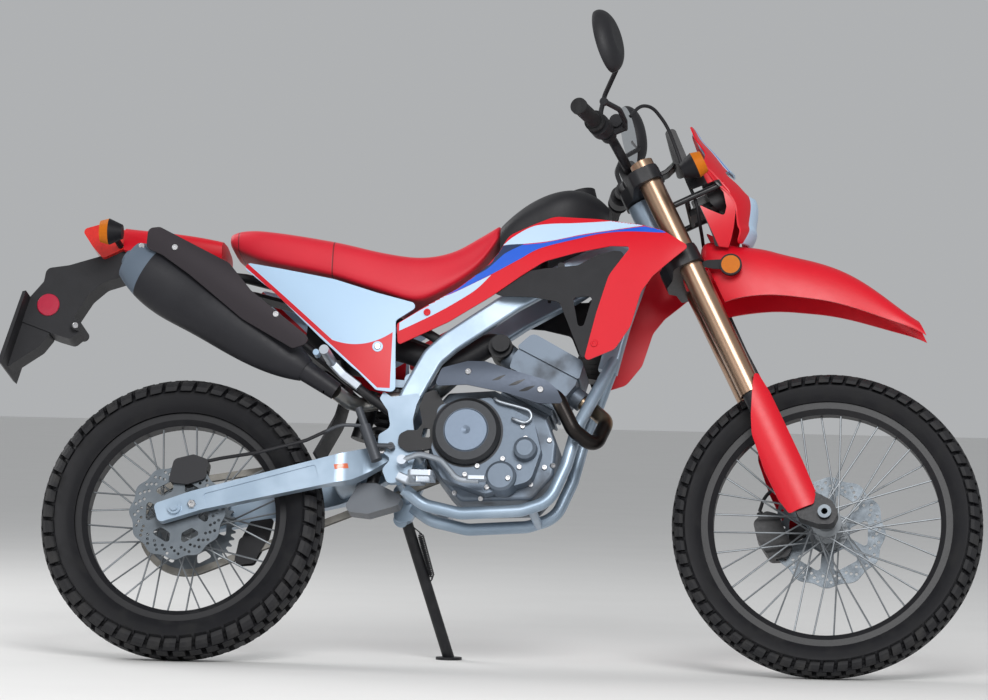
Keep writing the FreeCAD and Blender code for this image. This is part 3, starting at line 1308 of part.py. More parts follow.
def fork_clamps():
    """Upper and lower clamps on the stem that turns in the head tube."""
    side, tube_radius, lead = size("fork_side"), size("fork_tube_radius"), fork_line()
    outer = side + tube_radius + 12
    shapes = []
    for low, height, back in ((size("upper_clamp_height"), size("upper_clamp"), 34),
                              (size("lower_clamp_height"), size("lower_clamp"), 30)):
        outline = []
        for y in (-1, 1):
            half = [(-back, y * 24, 16), (-14, y * 58, 20), (-4, y * outer, 22), (lead + 26, y * outer, 26),
                    (lead + 34, y * (side - 24), 20), (34, y * 40, 30)]
            outline += half if y < 0 else list(reversed(half))
        shapes.append(level(outline, low, low + height))
    top = size("upper_clamp_height") + size("upper_clamp")
    half = size("head_tube_length") / 2
    shapes.append(rod((0, 0, size("lower_clamp_height")), (0, 0, top + 8), size("stem_radius")))
    shapes.append(rod((0, 0, top), (0, 0, top + 8), 21))
    collar = size("head_bore") - size("seat_gap")
    lower_top = size("lower_clamp_height") + size("lower_clamp")
    shapes.append(rod((0, 0, lower_top), (0, 0, -half + 12), collar))
    shapes.append(rod((0, 0, half - 12), (0, 0, size("upper_clamp_height")), collar))
    made = fused(shapes)
    for y in (-1, 1):
        low, high = (lead, y * side, -400), (lead, y * side, 400)
        made = made.cut(rod(low, high, tube_radius + size("seat_gap")))
    return feature("fork_clamps", made)


def fork_tubes():
    """The two gold outer tubes, with their caps and dust seals."""
    tubes = []
    for y in (-1, 1):
        made = doc.addObject("Part::Cylinder", "fork_tube_" + ("left" if y > 0 else "right"))
        made.setExpression("Radius", "Sizes.fork_tube_radius")
        made.setExpression("Height", "Sizes.fork_top - Sizes.fork_gold_end")
        side = "Sizes.fork_side" if y > 0 else "-Sizes.fork_side"
        made.setExpression("Placement.Base.x", "Sizes.fork_lead")
        made.setExpression("Placement.Base.y", side)
        made.setExpression("Placement.Base.z", "Sizes.fork_gold_end")
        tubes.append(made)
    both = doc.addObject("Part::Compound", "fork_tubes")
    both.Label = "fork_tubes"
    both.Links = tubes
    doc.recompute()
    return both


def fork_legs():
    """Sliding inner tubes with the castings that clamp the axle."""
    side, lead, reach = size("fork_side"), fork_line(), size("head_to_axle")
    axle_u, radius = size("axle_offset"), size("fork_leg_radius")
    bore = size("front_axle_radius") + size("axle_clearance")
    legs = []
    for y in (-1, 1):
        inner = rod((lead, y * side, size("fork_gold_end") - 0.3), (lead, y * side, -reach + 40), radius - 2)
        low, high = sorted((y * (side - radius), y * (side + radius)))
        casting = across(axle_casting(0), low, high)
        leg = fused([inner, casting])
        legs.append(leg.cut(rod((axle_u, y * side - 60, -reach), (axle_u, y * side + 60, -reach), bore)))
    return feature("fork_legs", legs)


def axle_casting(grow):
    """Outline of the casting that joins a slider to the axle, grown by a clearance."""
    lead, axle_u, reach = fork_line(), size("axle_offset"), size("head_to_axle")
    return [(lead - 26 - grow, -reach + 52 + grow, 12), (lead + 26 + grow, -reach + 56 + grow, 16),
            (axle_u + 26 + grow, -reach + 18, 16), (axle_u + 28 + grow, -reach - 12, 18), (axle_u + 4, -reach - 32 - grow, 16),
            (axle_u - 26 - grow, -reach - 16 - grow, 12), (lead - 28 - grow, -reach + 14, 14)]


def fork_guards():
    """Plastic guards wrapped round the outer side of each slider."""
    side, wall = size("fork_side"), size("guard_thickness")
    outline = [(64, -424, 6), (71, -484, 60), (71, -560), (70, -660), (66, -738, 16), (50, -762, 8), (-8, -758, 8),
               (-16, -716, 30), (-16, -640, 60), (-6, -556, 40), (10, -518, 40), (46, -450, 8)]
    made = []
    for y in (-1, 1):
        shell = []
        for grow in (0, wall):
            curve = Part.Ellipse(Vector(28 + 50 - grow, y * side, -820), Vector(28, y * side + 34 - grow, -820),
                                 Vector(28, y * side, -820))
            shell.append(Part.Face(Part.Wire([curve.toShape()])).extrude(Vector(0, 0, 460)))
        ring = shell[0].cut(shell[1])
        low, high = sorted((y * (side - 3), y * (side + 60)))
        guard = ring.common(across(outline, low, high))
        leg = side + size("fork_leg_radius") + size("seat_gap")
        low, high = sorted((y * (side - 40), y * leg))
        guard = guard.cut(across(axle_casting(size("seat_gap")), low, high))
        screw = rod((28, y * leg, -745), (28, y * (side + 32), -745), 8)
        made.append(fused([guard, screw]))
    return feature("fork_guards", made)


def arch(u, half, top, edge, drop):
    """Open section of a mudguard: crowned top with turned-down sides, as a closed thin wire."""
    return [Vector(u, -half, edge), Vector(u, -half * 0.92, top - drop), Vector(u, -half * 0.5, top - drop * 0.25),
            Vector(u, 0, top)]


def front_fender():
    """High mudguard under the lower clamp: a long crowned blade, open below."""
    half = size("fender_half")
    wall = size("fender_skin")
    stations = [
        (72, 0.90, -96, -236), (96, 0.97, -78, -240), (130, 1.0, -98, -250), (170, 0.98, -126, -266), (230, 0.92, -170, -300),
        (300, 0.84, -228, -348), (362, 0.72, -296, -404), (412, 0.60, -386, -452), (448, 0.45, -452, -494),
    ]
    outer, inner = [], []
    for u, share, top, edge in stations:
        for grow, store in ((0, outer), (wall, inner)):
            reach = half * share - grow
            high = top - grow
            low = edge - (6 if grow else 0)
            right = [Vector(u, -reach, low), Vector(u, -reach * 0.96, low + (high - low) * 0.55),
                     Vector(u, -reach * 0.62, low + (high - low) * 0.93), Vector(u, 0, high)]
            left = [Vector(p.x, -p.y, p.z) for p in reversed(right[:-1])]
            curve = Part.BSplineCurve()
            curve.interpolate(right + left)
            store.append(Part.Wire([curve.toShape(), Part.LineSegment(left[-1], right[0]).toShape()]))
    shell = lofted(outer).cut(lofted([wire.translated(Vector(0, 0, 0)) for wire in inner]))
    mount = size("lower_clamp_height") - size("seat_gap")
    pads = [level([(10, -34, 8), (58, -40), (76, -62), (100, -64), (100, 64), (76, 62), (58, 40), (10, 34, 8)],
                  mount - 9, mount)]
    return feature("front_fender", fused([shell] + pads))


def mask_depth(y, w):
    """How far ahead of the steering axis the mask's face lies."""
    fall = 0.295 * (w + 20) if w > -20 else 0.0055 * (w + 20) ** 2
    return 241 - fall - 0.0045 * y ** 2


def headlight_mask():
    """Flat-nosed plastic mask with the lamp's opening, on two arms to the fork."""
    half = size("mask_half")
    front = [(-80, -126, 20), (-100, -66, 30), (-half, 10, 40), (-half + 8, 64, 30), (-74, 100, 50), (-44, 186, 24),
             (44, 186, 24), (74, 100, 50), (half - 8, 64, 30), (half, 10, 40), (100, -66, 30), (80, -126, 20)]
    face = skin(front, mask_depth, size("skin"), plane="front", grid=(9, 9), facing=1)
    hole = slab([(-66, -34, 24), (-78, 44, 16), (78, 44, 16), (66, -34, 24)], "front", 50, 400)
    arms = []
    for y in (-1, 1):
        arms.append(tube([(fork_line() + size("fork_tube_radius") + 0.3, y * 100, 10), (112, y * 100, 10), (184, y * 101, 8)], 7, 10))
    cheek = skin(
        [(105, -112, 6), (110, -93, 8), (112, -53, 8), (112, -16, 2), (128, -36, 14), (153, -62, 6), (166, -46, 6),
         (174, -14, 8), (167, 20, 4), (112, 24, 5), (112, 68, 5), (160, 68, 4), (172, 42, 8), (187, -14, 8),
         (186, -46, 8), (178, -67, 8), (162, -92, 8), (146, -112, 8), (132, -127, 4)],
        lambda u, w: half - 8 - (0.10 * depth_below(w) + 0.0016 * depth_below(w) ** 2), 4,
    )
    return feature("headlight_mask", fused([face.cut(hole)] + arms + mirrored(cheek)))


def depth_below(w):
    """How far a point lies under the mask's widest line."""
    return max(0, -w - 10)


def headlight():
    """Lamp unit behind the mask's opening, with its housing."""
    shell = slab([(-62, -30, 22), (-74, 40, 14), (74, 40, 14), (62, -30, 22)], "front", 140, 270)
    lens_cut = skin([(-80, -40), (80, -40), (80, 50), (-80, 50)], lambda y, w: mask_depth(y, w) - 9, 70, plane="front",
                    grid=(7, 5), facing=1)
    lamp = shell.common(lens_cut)
    stay = level([(88, -30, 4), (172, -30, 4), (172, 30, 4), (88, 30, 4)], -8, 6)
    arm = size("fork_side") - 7 - size("seat_gap")
    cross = rod((92, -arm, 10), (92, arm, 10), 6)
    return feature("headlight", fused([lamp, stay, cross]))


def instrument():
    """Upright meter on a bracket from the upper clamp."""
    case = across([(104, 112, 8), (118, 196, 10), (142, 192, 10), (138, 108, 10)], -54, 54)
    top = size("upper_clamp_height") + size("upper_clamp")
    stay = beam([(24, 0, top + 5.8), (84, 0, top + 5.8), (116, 0, 130)], 40, 11, 3, 20)
    return feature("instrument", fused([case, stay]))


BAR_ROUTE = [(6, 52, 143), (4, 92, 148), (-4, 166, 190), (-26, 290, 200)]


def bar_path(y):
    """Half of the bend of the handlebar, from the clamp to the end on one side."""
    return [(u, y * out, w) for u, out, w in BAR_ROUTE] + [(BAR_TIP[0], y * size("bar_end"), BAR_TIP[1])]


BAR_TIP = (-52, 212)


def on_grip(y, share):
    """A point along the straight end of the bar: 0 at its inner bend, 1 at its tip."""
    inner, tip = Vector(BAR_ROUTE[-1][0], y * BAR_ROUTE[-1][1], BAR_ROUTE[-1][2]), Vector(BAR_TIP[0], y * size("bar_end"), BAR_TIP[1])
    return tuple(inner + (tip - inner) * share)


def handlebar():
    radius = size("bar_radius") - 2.9
    top = size("upper_clamp_height") + size("upper_clamp") + size("seat_gap")
    shapes = [rod((6, -54, 143), (6, 54, 143), size("bar_radius"))]
    for y in (-1, 1):
        shapes.append(tube(bar_path(y), radius, 60))
        low, high = sorted((y * 34, y * 58))
        shapes.append(across([(-14, top, 4), (26, top, 4), (28, 150, 8), (22, 164, 8), (-10, 164, 8), (-16, 150, 8)], low, high))
    return feature("handlebar", fused(shapes))


def grips():
    made = []
    for y in (-1, 1):
        end, start = Vector(*on_grip(y, 1)), Vector(*on_grip(y, 0.02))
        way = end - start
        way.normalize()
        inner = end - way * (size("grip_length") - 10)
        hole = size("bar_radius") - 2.9 + 0.3
        grip = rod(inner, end + way * 5, size("grip_radius"))
        flange = rod(inner, inner + way * 6, size("grip_radius") + 7)
        cap = rod(end - way * 2, end + way * 5, size("grip_radius") + 2)
        made.append(fused([grip, flange, cap]).cut(rod(inner - way * 2, end + way * 0.5, hole)))
    return feature("grips", made)


def bar_controls():
    """Switch housings, lever perches, levers and the front brake's fluid cup."""
    made = []
    for y in (-1, 1):
        inner = Vector(-20, y * 262, 198.5)
        bend = Vector(*bar_path(y)[2])
        corner = Vector(*bar_path(y)[3])
        way = corner - bend
        way.normalize()
        perch_at = bend + way * 42
        housing = rod(corner - way * 46, corner - way * 8, 25)
        perch = rod(perch_at - way * 13, perch_at + way * 13, 18)
        arm_end = perch_at + Vector(42, y * 8, -4)
        shapes = [housing, perch, tube([tuple(perch_at), (arm_end.x, arm_end.y, arm_end.z)], 9, 5)]
        lever = [tuple(arm_end - Vector(0, y * 12, 0)), (34, y * 262, 186), (30, y * 330, 192), (4, y * 396, 200)]
        shapes.append(tube(lever, 6, 60))
        shapes.append(rod((4, y * 393, 200), (1, y * 402, 201), 9))
        if y < 0:
            cup = perch_at + Vector(33, 0, 14)
            shapes.append(rod(cup - way * 20, cup + way * 20, 15))
        joined = fused(shapes)
        hole = size("bar_radius") - 2.9 + 0.3
        joined = joined.cut(tube(bar_path(y), hole, 60))
        made.append(joined)
    return feature("bar_controls", made)


def mirrors():
    """Two stalked mirrors, each head an oval shell turned towards the rider."""
    made = []
    side = size("mirror_side")
    for y in (-1, 1):
        bend = Vector(*bar_path(y)[2])
        corner = Vector(*bar_path(y)[3])
        way = corner - bend
        way.normalize()
        seat_at = bend + way * 42 + Vector(2, 0, 0)
        foot = Vector(seat_at.x, seat_at.y, seat_at.z + 18.4)
        stem = tube([tuple(foot), (foot.x + 2, foot.y + y * 2, foot.z + 30), (foot.x + 30, foot.y + y * 20, foot.z + 62),
                     (72, y * (side - 26), 300), (66, y * side, 330)], 5.5, 30)
        facing = Vector(-0.92, -y * 0.34, 0.2)
        facing.normalize()
        up = Vector(0.12, 0, 1)
        wide = facing.cross(up)
        wide.normalize()
        up = wide.cross(facing)
        up.normalize()
        middle = Vector(64, y * (side + 12), 352)
        wires = []
        for depth, share in ((0, 1.0), (10, 1.0), (24, 0.86), (34, 0.5)):
            centre = middle - facing * depth
            curve = Part.Ellipse(centre + up * 74 * share, centre + wide * 52 * share, centre)
            wires.append(Part.Wire([curve.toShape()]))
        made.append(fused([lofted(wires), stem]))
    return feature("mirrors", made)


def front_indicators():
    """Indicator lamps on stalks from the mask, and the round reflectors low on the fork."""
    lamps = []
    for y in (-1, 1):
        lamp = pod((138, y * 172, 52), (1, 0, 0), size("lamp_radius"), 54)
        stalk = rod((124, y * (size("mask_half") - 7.7), 46), (124, y * 160, 46), 7)
        lamps.append(fused([lamp, stalk]))
        disc = rod((118, y * 91, -172), (118, y * 101, -172), 25)
        seat = size("lower_clamp_height") - size("seat_gap")
        low, high = sorted((y * 92, y * 96))
        lug = across([(62.5, seat), (74, seat), (126, -160), (120, -186), (78, -162), (62.5, -150)], low, high)
        lamps.append(fused([disc, lug]))
    return feature("front_indicators", lamps)


def front_caliper():
    """Sliding caliper behind the left slider, over the disc."""
    disc, thick, gap = size("front_disc_side"), size("disc_thickness"), size("disc_gap")
    axle_u, reach = size("axle_offset"), size("head_to_axle")
    body = across([(-88, -738, 12), (-80, -700, 14), (-44, -688, 14), (-22, -706, 12), (-24, -790, 12), (-44, -806, 12),
                   (-82, -790, 14)], 38, 92)
    slot = rod((axle_u, disc - thick / 2 - gap, -reach), (axle_u, disc + thick / 2 + gap, -reach),
               size("front_disc_radius") + gap)
    ear = across([(-30, -742, 8), (14, -742, 6), (14, -772, 6), (-30, -778, 8)], disc + thick / 2 + gap + 2, 86)
    leg = size("fork_side") - size("fork_leg_radius") - size("seat_gap")
    ear_lug = across([(-12, -744, 6), (30, -744, 6), (30, -770, 6), (-12, -770, 6)], disc + thick / 2 + gap + 2, leg)
    made = fused([body.cut(slot), ear.common(across([(-40, -700), (8, -700), (8, -800), (-40, -800)], 0, 120)), ear_lug])
    clear = rod((size("fork_lead"), size("fork_side"), -900), (size("fork_lead"), size("fork_side"), -300),
                size("fork_leg_radius") + size("seat_gap"))
    casting = across([(-4, -600), (200, -600), (200, -900), (-4, -900)], leg, 140)
    banjo = rod((-58, 64, -704), (-56, 64, -680), 7)
    return feature("front_caliper", fused([largest(made.cut(clear).cut(casting)), banjo]))


FRONT_HOSE = [
    (52, -216, 206), (84, -200, 226), (110, -166, 222), (124, -128, 180), (120, -100, 118), (112, -92, 56), (112, -84, 4),
    (98, -60, -42), (92, -20, -62), (88, 22, -70), (86, 54, -84), (84, 74, -118), (80, 83, -172), (76, 84, -240),
    (74, 81, -320), (76, 76, -400), (78, 72, -480), (68, 70, -556), (42, 69, -610), (4, 67, -640), (-32, 65, -652),
    (-55, 64, -677.6),
]


def front_hose():
    """Brake hose from the bar to the caliper, held by the fork all the way."""
    return feature("front_hose", tube(FRONT_HOSE, 4, 400))


def side_stand():
    """Leg swung down from the left pivot plate, its foot flat on the road."""
    foot = stand_foot()
    radius, half = size("stand_tube"), size("stand_knuckle")
    upward = Vector(0, -sine(LEAN), cosine(LEAN))
    pad = Part.makeCylinder(30, 6, foot, upward)
    leg = rod(on_hinge(0), foot + upward * 4, radius)
    knuckle = rod(on_hinge(-half), on_hinge(half), 17)
    made = fused([leg, knuckle]).common(fused([rod(on_hinge(-half), on_hinge(half), 40), rod(on_hinge(0) + (foot - on_hinge(0)) * 0.07, foot + (foot - on_hinge(0)) * 0.2, 60)]))
    made = fused([made, pad]).cut(rod(foot - upward * 60, foot, 80))
    made = made.cut(rod(on_hinge(-half - 5), on_hinge(half + 5), size("stand_bolt") + size("pin_play")))
    return feature("side_stand", made)


# The sub-parts, each drawn upright and given its place.
frame = keep(main_frame(), upright)
keep(cradle(frame), upright)
rails = keep(subframe(frame), upright)
keep(crankcase(), upright)
head_block = keep(cylinder_head(), upright)
cases = keep(engine_covers(), upright)
header_pipe = keep(exhaust_header(), upright)
pipe_end = keep(muffler(), upright)
keep(heat_shields(header_pipe, pipe_end), upright)
arm = keep(swingarm(), upright)
keep(shock(), upright)
keep(chain(), upright)
keep(chain_guides(), upright)
keep(rear_brake(), upright)
keep(radiator(frame), upright)
keep(fuel_tank(frame), upright)
keep(tank_shrouds(), upright)
keep(shroud_supports(), upright)
keep(seat(rails), upright)
keep(side_covers(cases, arm), upright)
keep(airbox(head_block), upright)
tail, light = keep(tail_fender(), upright), keep(tail_light(), upright)
keep(plate_bracket(tail, light), upright)
keep(rear_indicators(), upright)
keep(foot_pegs(), upright)
keep(foot_levers(), upright)
keep(fork_clamps(), in_steering)
keep(fork_tubes(), in_steering)
keep(fork_legs(), in_steering)
keep(fork_guards(), in_steering)
keep(front_fender(), in_steering)
keep(headlight_mask(), in_steering)
keep(headlight(), in_steering)
keep(instrument(), in_steering)
keep(handlebar(), in_steering)
keep(grips(), in_steering)
keep(bar_controls(), in_steering)
keep(mirrors(), in_steering)
keep(front_indicators(), in_steering)
keep(front_caliper(), in_steering)
keep(front_hose(), in_steering)
keep(side_stand(), upright)


# Lean the whole machine onto its stand, and set its origin on the road under the middle of its box.
lean = Placement(Vector(0, 0, 0), Rotation(Vector(1, 0, 0), -LEAN))
for made, place in nodes:
    made.Placement = lean.multiply(place)
doc.recompute()
low, high = [1e9, 1e9], [-1e9, -1e9]
for made, _ in nodes:
    box = made.Shape.BoundBox
    low = [min(low[0], box.XMin), min(low[1], box.YMin)]
    high = [max(high[0], box.XMax), max(high[1], box.YMax)]
road = rear_z * cosine(LEAN) - standing_height(*rear_tyre)
shift = Placement(Vector(-(low[0] + high[0]) / 2, -(low[1] + high[1]) / 2, -road), Rotation())
for made, place in nodes:
    made.Placement = shift.multiply(lean).multiply(place)
doc.recompute()

os.makedirs("parts", exist_ok=True)
for item in doc.Objects:
    if "Invalid" in item.State or "Error" in item.State:
        raise RuntimeError(f"{item.Label} did not recompute: {item.State}")
faulty = [made.Label for made, _ in nodes if made.Shape.isNull() or not made.Shape.isValid() or made.Shape.Volume < 1]
if faulty:
    raise RuntimeError(f"no valid solid in {faulty}")
for made, _ in nodes:
    made.Shape.exportStep(f"parts/{made.Label}.step")
print(len(nodes), "sub-parts, shift", shift.Base)
stood = shift.multiply(lean)
hinge_way = on_hinge(1) - on_hinge(0)
for name, point, way in (("steering", head, steer_up), ("front wheel", front_axle, Vector(0, 1, 0)),
                         ("rear wheel", rear_axle, Vector(0, 1, 0)), ("side stand", on_hinge(0), hinge_way)):
    turned_way = stood.Rotation.multVec(way)
    print(name, [round(v, 3) for v in stood.multVec(point)], [round(v, 6) for v in turned_way])
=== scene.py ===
import bpy
import bmesh
import json
from math import cos, pi, radians, sin
from mathutils import Matrix, Vector


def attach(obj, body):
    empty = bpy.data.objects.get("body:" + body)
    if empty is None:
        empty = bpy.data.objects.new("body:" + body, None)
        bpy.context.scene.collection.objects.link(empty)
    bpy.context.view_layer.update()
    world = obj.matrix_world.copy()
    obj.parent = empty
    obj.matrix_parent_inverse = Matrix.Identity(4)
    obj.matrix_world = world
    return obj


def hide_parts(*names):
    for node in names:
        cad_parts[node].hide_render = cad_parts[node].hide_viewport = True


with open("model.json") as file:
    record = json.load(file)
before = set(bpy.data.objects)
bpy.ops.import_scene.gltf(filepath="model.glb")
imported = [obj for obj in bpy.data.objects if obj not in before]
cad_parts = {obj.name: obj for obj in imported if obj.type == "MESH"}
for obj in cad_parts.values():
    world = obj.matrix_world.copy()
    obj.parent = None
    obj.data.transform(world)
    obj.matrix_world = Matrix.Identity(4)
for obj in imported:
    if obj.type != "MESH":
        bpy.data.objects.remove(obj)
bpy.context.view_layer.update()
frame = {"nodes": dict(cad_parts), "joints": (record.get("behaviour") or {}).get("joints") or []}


# Main frame: two extruded aluminium spars from the steering head to cast pivot plates, under a thin silver paint.
# The machine leans left onto its stand, so its pieces are drawn as if it stood straight, x ahead of the rear axle and
# z over the road, and are then set into the lean.
joints = {joint["name"]: joint for joint in frame["joints"]}
sideways = Vector(joints["rear_wheel_spin"]["axis"])
rear_axle = Vector(joints["rear_wheel_spin"]["pos_m"])
ahead = Vector((1, 0, 0))
upward = ahead.cross(sideways)
REAR_AXLE_HEIGHT = 0.322


def standing(origin, forward, left, up):
    """The matrix that sets a piece drawn at its own origin into the leaning machine."""
    return Matrix((
        (forward.x, left.x, up.x, origin.x), (forward.y, left.y, up.y, origin.y),
        (forward.z, left.z, up.z, origin.z), (0, 0, 0, 1),
    ))


upright = standing(rear_axle - upward * REAR_AXLE_HEIGHT, ahead, sideways, upward)


class Wire:
    """A socket of a finish, on which sums are written as arithmetic."""

    def __init__(self, finish, socket):
        self.finish, self.socket = finish, socket

    def math(self, operation, first, second=None):
        values = {0: first} if second is None else {0: first, 1: second}
        return self.finish.node("ShaderNodeMath", {"operation": operation}, values)

    def __add__(self, other):
        return self.math("ADD", self, other)

    def __sub__(self, other):
        return self.math("SUBTRACT", self, other)

    def __rsub__(self, other):
        return self.math("SUBTRACT", other, self)

    def __mul__(self, other):
        return self.math("MULTIPLY", self, other)

    def __pow__(self, other):
        return self.math("POWER", self, other)

    __radd__, __rmul__ = __add__, __mul__

    def sine(self):
        return self.math("SINE", self)

    def size(self):
        return self.math("ABSOLUTE", self)

    def least(self, other):
        return self.math("MINIMUM", self, other)

    def most(self, other):
        return self.math("MAXIMUM", self, other)

    def step(self, low, high):
        """0 below low and 1 above high, smooth between them."""
        return self.finish.node(
            "ShaderNodeMapRange", {"interpolation_type": "SMOOTHSTEP"},
            {"Value": self, "From Min": low, "From Max": high},
        )

    def above(self, edge, blur=0.001):
        """0 below an edge and 1 above it, blurred by so much each way."""
        return self.step(edge - blur, edge + blur)

    def inside(self, low, high):
        """1 between low and high, and 0 outside."""
        return self.above(low) * (1 - self.above(high))


class Finish:
    """One material: its nodes are added by node, and its shader's sockets are set by shine."""

    MIX_SHARE, MIX_FIRST, MIX_SECOND, MIX_RESULT = 0, 6, 7, 2

    def __init__(self, name, **constants):
        self.material = bpy.data.materials.new(name)
        self.material.use_nodes = True
        self.tree = self.material.node_tree
        self.shader = self.tree.nodes["Principled BSDF"]
        self.shine(**constants)

    def node(self, kind, settings=None, values=None, out=None):
        """Adds a node by its type, its settings, and the values or links of its sockets."""
        made = self.tree.nodes.new(kind)
        for name, value in (settings or {}).items():
            setattr(made, name, value)
        for name, value in (values or {}).items():
            self.join(made.inputs[name], value)
        if out is None:
            live = [socket for socket in made.outputs if socket.enabled]
            return Wire(self, live[0])
        return Wire(self, made.outputs[out])

    def join(self, socket, value):
        """Gives a socket a link, a colour or a number."""
        if isinstance(value, Wire):
            self.tree.links.new(value.socket, socket)
        elif isinstance(value, (tuple, list)) and len(value) == 3 and socket.type == "RGBA":
            socket.default_value = (*value, 1)
        else:
            socket.default_value = value

    def shine(self, **values):
        """Sets the shader's sockets, named with underscores for spaces."""
        for name, value in values.items():
            self.join(self.shader.inputs[name.replace("_", " ")], value)
        return self

    def place(self):
        """The point of the surface, in metres."""
        return self.node("ShaderNodeTexCoord", out="Object")

    def straight(self, matrix=upright):
        """The same point in the drawing's own directions, as three numbers."""
        turned = self.node(
            "ShaderNodeMapping", {"vector_type": "TEXTURE"},
            {"Vector": self.place(), "Location": matrix.to_translation(), "Rotation": matrix.to_euler()},
        )
        return [self.node("ShaderNodeSeparateXYZ", values={"Vector": turned}, out=axis) for axis in "XYZ"]

    def noise(self, scale, detail=2.0):
        """Clouds from 0 to 1 over the surface, with so many to a metre."""
        return self.node(
            "ShaderNodeTexNoise", values={"Vector": self.place(), "Scale": scale, "Detail": detail, "Roughness": 0.5},
        )

    def between(self, share, first, second):
        """A colour between two, by a share from 0 to 1."""
        made = self.tree.nodes.new("ShaderNodeMix")
        made.data_type = "RGBA"
        self.join(made.inputs[self.MIX_SHARE], share)
        self.join(made.inputs[self.MIX_FIRST], first)
        self.join(made.inputs[self.MIX_SECOND], second)
        return Wire(self, made.outputs[self.MIX_RESULT])

    def bump(self, height, strength, distance):
        """A relief in the surface, with its depth in metres."""
        normal = self.node("ShaderNodeBump", values={"Height": height, "Strength": strength, "Distance": distance})
        return self.shine(Normal=normal)


def dress(finish, *nodes):
    """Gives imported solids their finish."""
    for name in nodes:
        solid = frame["nodes"][name]
        solid.data.materials.clear()
        solid.data.materials.append(finish.material)
        for face in solid.data.polygons:
            face.material_index = 0


silver_paint = Finish("silver frame paint", Metallic=0.55, Coat_Weight=0.25, Coat_Roughness=0.2)
cloud = silver_paint.noise(9.0, 3.0)
silver_paint.shine(
    # Silver paint, its blue tint a painted reflection of the sky.
    Base_Color=silver_paint.between(cloud.step(0.35, 0.7), (0.27, 0.35, 0.44), (0.36, 0.45, 0.55)),
    Roughness=0.34 + silver_paint.noise(160.0) * 0.12,
).bump(silver_paint.noise(900.0), 0.06, 0.0004)
dress(silver_paint, "main_frame", "cradle", "swingarm")


# Rear rails: steel tube, coated satin black, bolted to the pivot plates under the seat and the tail.
# The fork clamps and sliders, the bar, the radiator, the front caliper and the side stand have the same coat.
DEEP_BLACK = (0.008, 0.008, 0.010)
black_coat = Finish("satin black coat", Specular_IOR_Level=0.35)
black_coat.shine(
    Base_Color=black_coat.between(black_coat.noise(30.0, 4.0).step(0.4, 0.75), DEEP_BLACK, (0.018, 0.018, 0.021)),
    Roughness=0.36 + black_coat.noise(220.0) * 0.2,
).bump(black_coat.noise(1400.0), 0.1, 0.0003)
dress(
    black_coat, "subframe", "fork_clamps", "fork_legs", "handlebar", "side_stand", "radiator", "front_caliper",
)


# Engine castings: sand-cast aluminium painted grey, with pressure-cast covers screwed over them.
# The clutch cover on the right has a dark ring round a bright disc.
engine_grey = Finish("grey engine casting", Metallic=0.65)
soot = engine_grey.noise(14.0, 4.0).step(0.45, 0.8)
engine_grey.shine(
    Base_Color=engine_grey.between(soot, (0.135, 0.165, 0.205), (0.07, 0.075, 0.085)),
    Roughness=0.46 + soot * 0.18,
).bump(engine_grey.noise(700.0, 3.0), 0.25, 0.0006)
dress(engine_grey, "crankcase", "cylinder_head")

CLUTCH_X, CLUTCH_Z = 0.652, 0.508
CLUTCH_DISC, CLUTCH_RING = 0.050, 0.0815
cover_casting = Finish("engine cover castings", Metallic=0.7)
x, y, z = cover_casting.straight()
spread = ((x - CLUTCH_X) ** 2 + (z - CLUTCH_Z) ** 2) ** 0.5
right_side = 1 - y.above(0, 0.02)
ring = spread.inside(CLUTCH_DISC, CLUTCH_RING) * right_side
disc = (1 - spread.above(CLUTCH_DISC)) * right_side
base = cover_casting.between(ring, (0.13, 0.16, 0.20), (0.040, 0.042, 0.046))
cover_casting.shine(
    Base_Color=cover_casting.between(disc, base, (0.16, 0.20, 0.26)),
    Roughness=0.42 + cover_casting.noise(160.0) * 0.12,
).bump(cover_casting.noise(700.0, 3.0), 0.2, 0.0005)
dress(cover_casting, "engine_covers")


# Pegs, levers, hubs and shock: bare cast aluminium for the pegs and levers, and duller cast hubs with steel spokes.
# The shock's spring is black steel on grey castings, and the rear caliper hangs on a grey bracket.
bright_casting = Finish("bright casting", Metallic=0.85)
bright_casting.shine(
    Base_Color=bright_casting.between(bright_casting.noise(24.0, 3.0), (0.36, 0.40, 0.45), (0.48, 0.52, 0.57)),
    Roughness=0.34 + bright_casting.noise(300.0) * 0.16,
).bump(bright_casting.noise(800.0), 0.12, 0.0005)
dress(bright_casting, "foot_pegs", "foot_levers")

CALIPER_FRONT = 0.335
brake_casting = Finish("brake castings", Metallic=0.3)
x, _, _ = brake_casting.straight()
brake_casting.shine(
    Base_Color=brake_casting.between(x.above(CALIPER_FRONT, 0.005), (0.016, 0.016, 0.019), (0.055, 0.06, 0.07)),
    Roughness=0.42 + brake_casting.noise(200.0) * 0.15,
)
dress(brake_casting, "rear_brake")

spoke_steel = Finish("spokes and hubs", Metallic=0.7)
spoke_steel.shine(
    Base_Color=spoke_steel.between(spoke_steel.noise(40.0), (0.17, 0.185, 0.20), (0.25, 0.265, 0.28)),
    Roughness=0.42 + spoke_steel.noise(300.0) * 0.12,
)
dress(spoke_steel, "front_hub", "rear_hub")

SPRING_FOOT = 0.411
shock_paint = Finish("shock spring and link", Metallic=0.4)
_, _, z = shock_paint.straight()
shock_paint.shine(
    Base_Color=shock_paint.between(z.above(SPRING_FOOT), (0.11, 0.12, 0.135), (0.02, 0.02, 0.022)),
    Roughness=0.36 + shock_paint.noise(160.0) * 0.14,
)
dress(shock_paint, "shock")


# Bolts of the engine, the covers and the guards: zinc-plated cap screws, each set on the surface under it.
# A head is turned, with a hollow for the key, and follows the surface's slope where that is slight.
OUTSIDE = 0.4
SLIGHT_SLOPE = 0.85


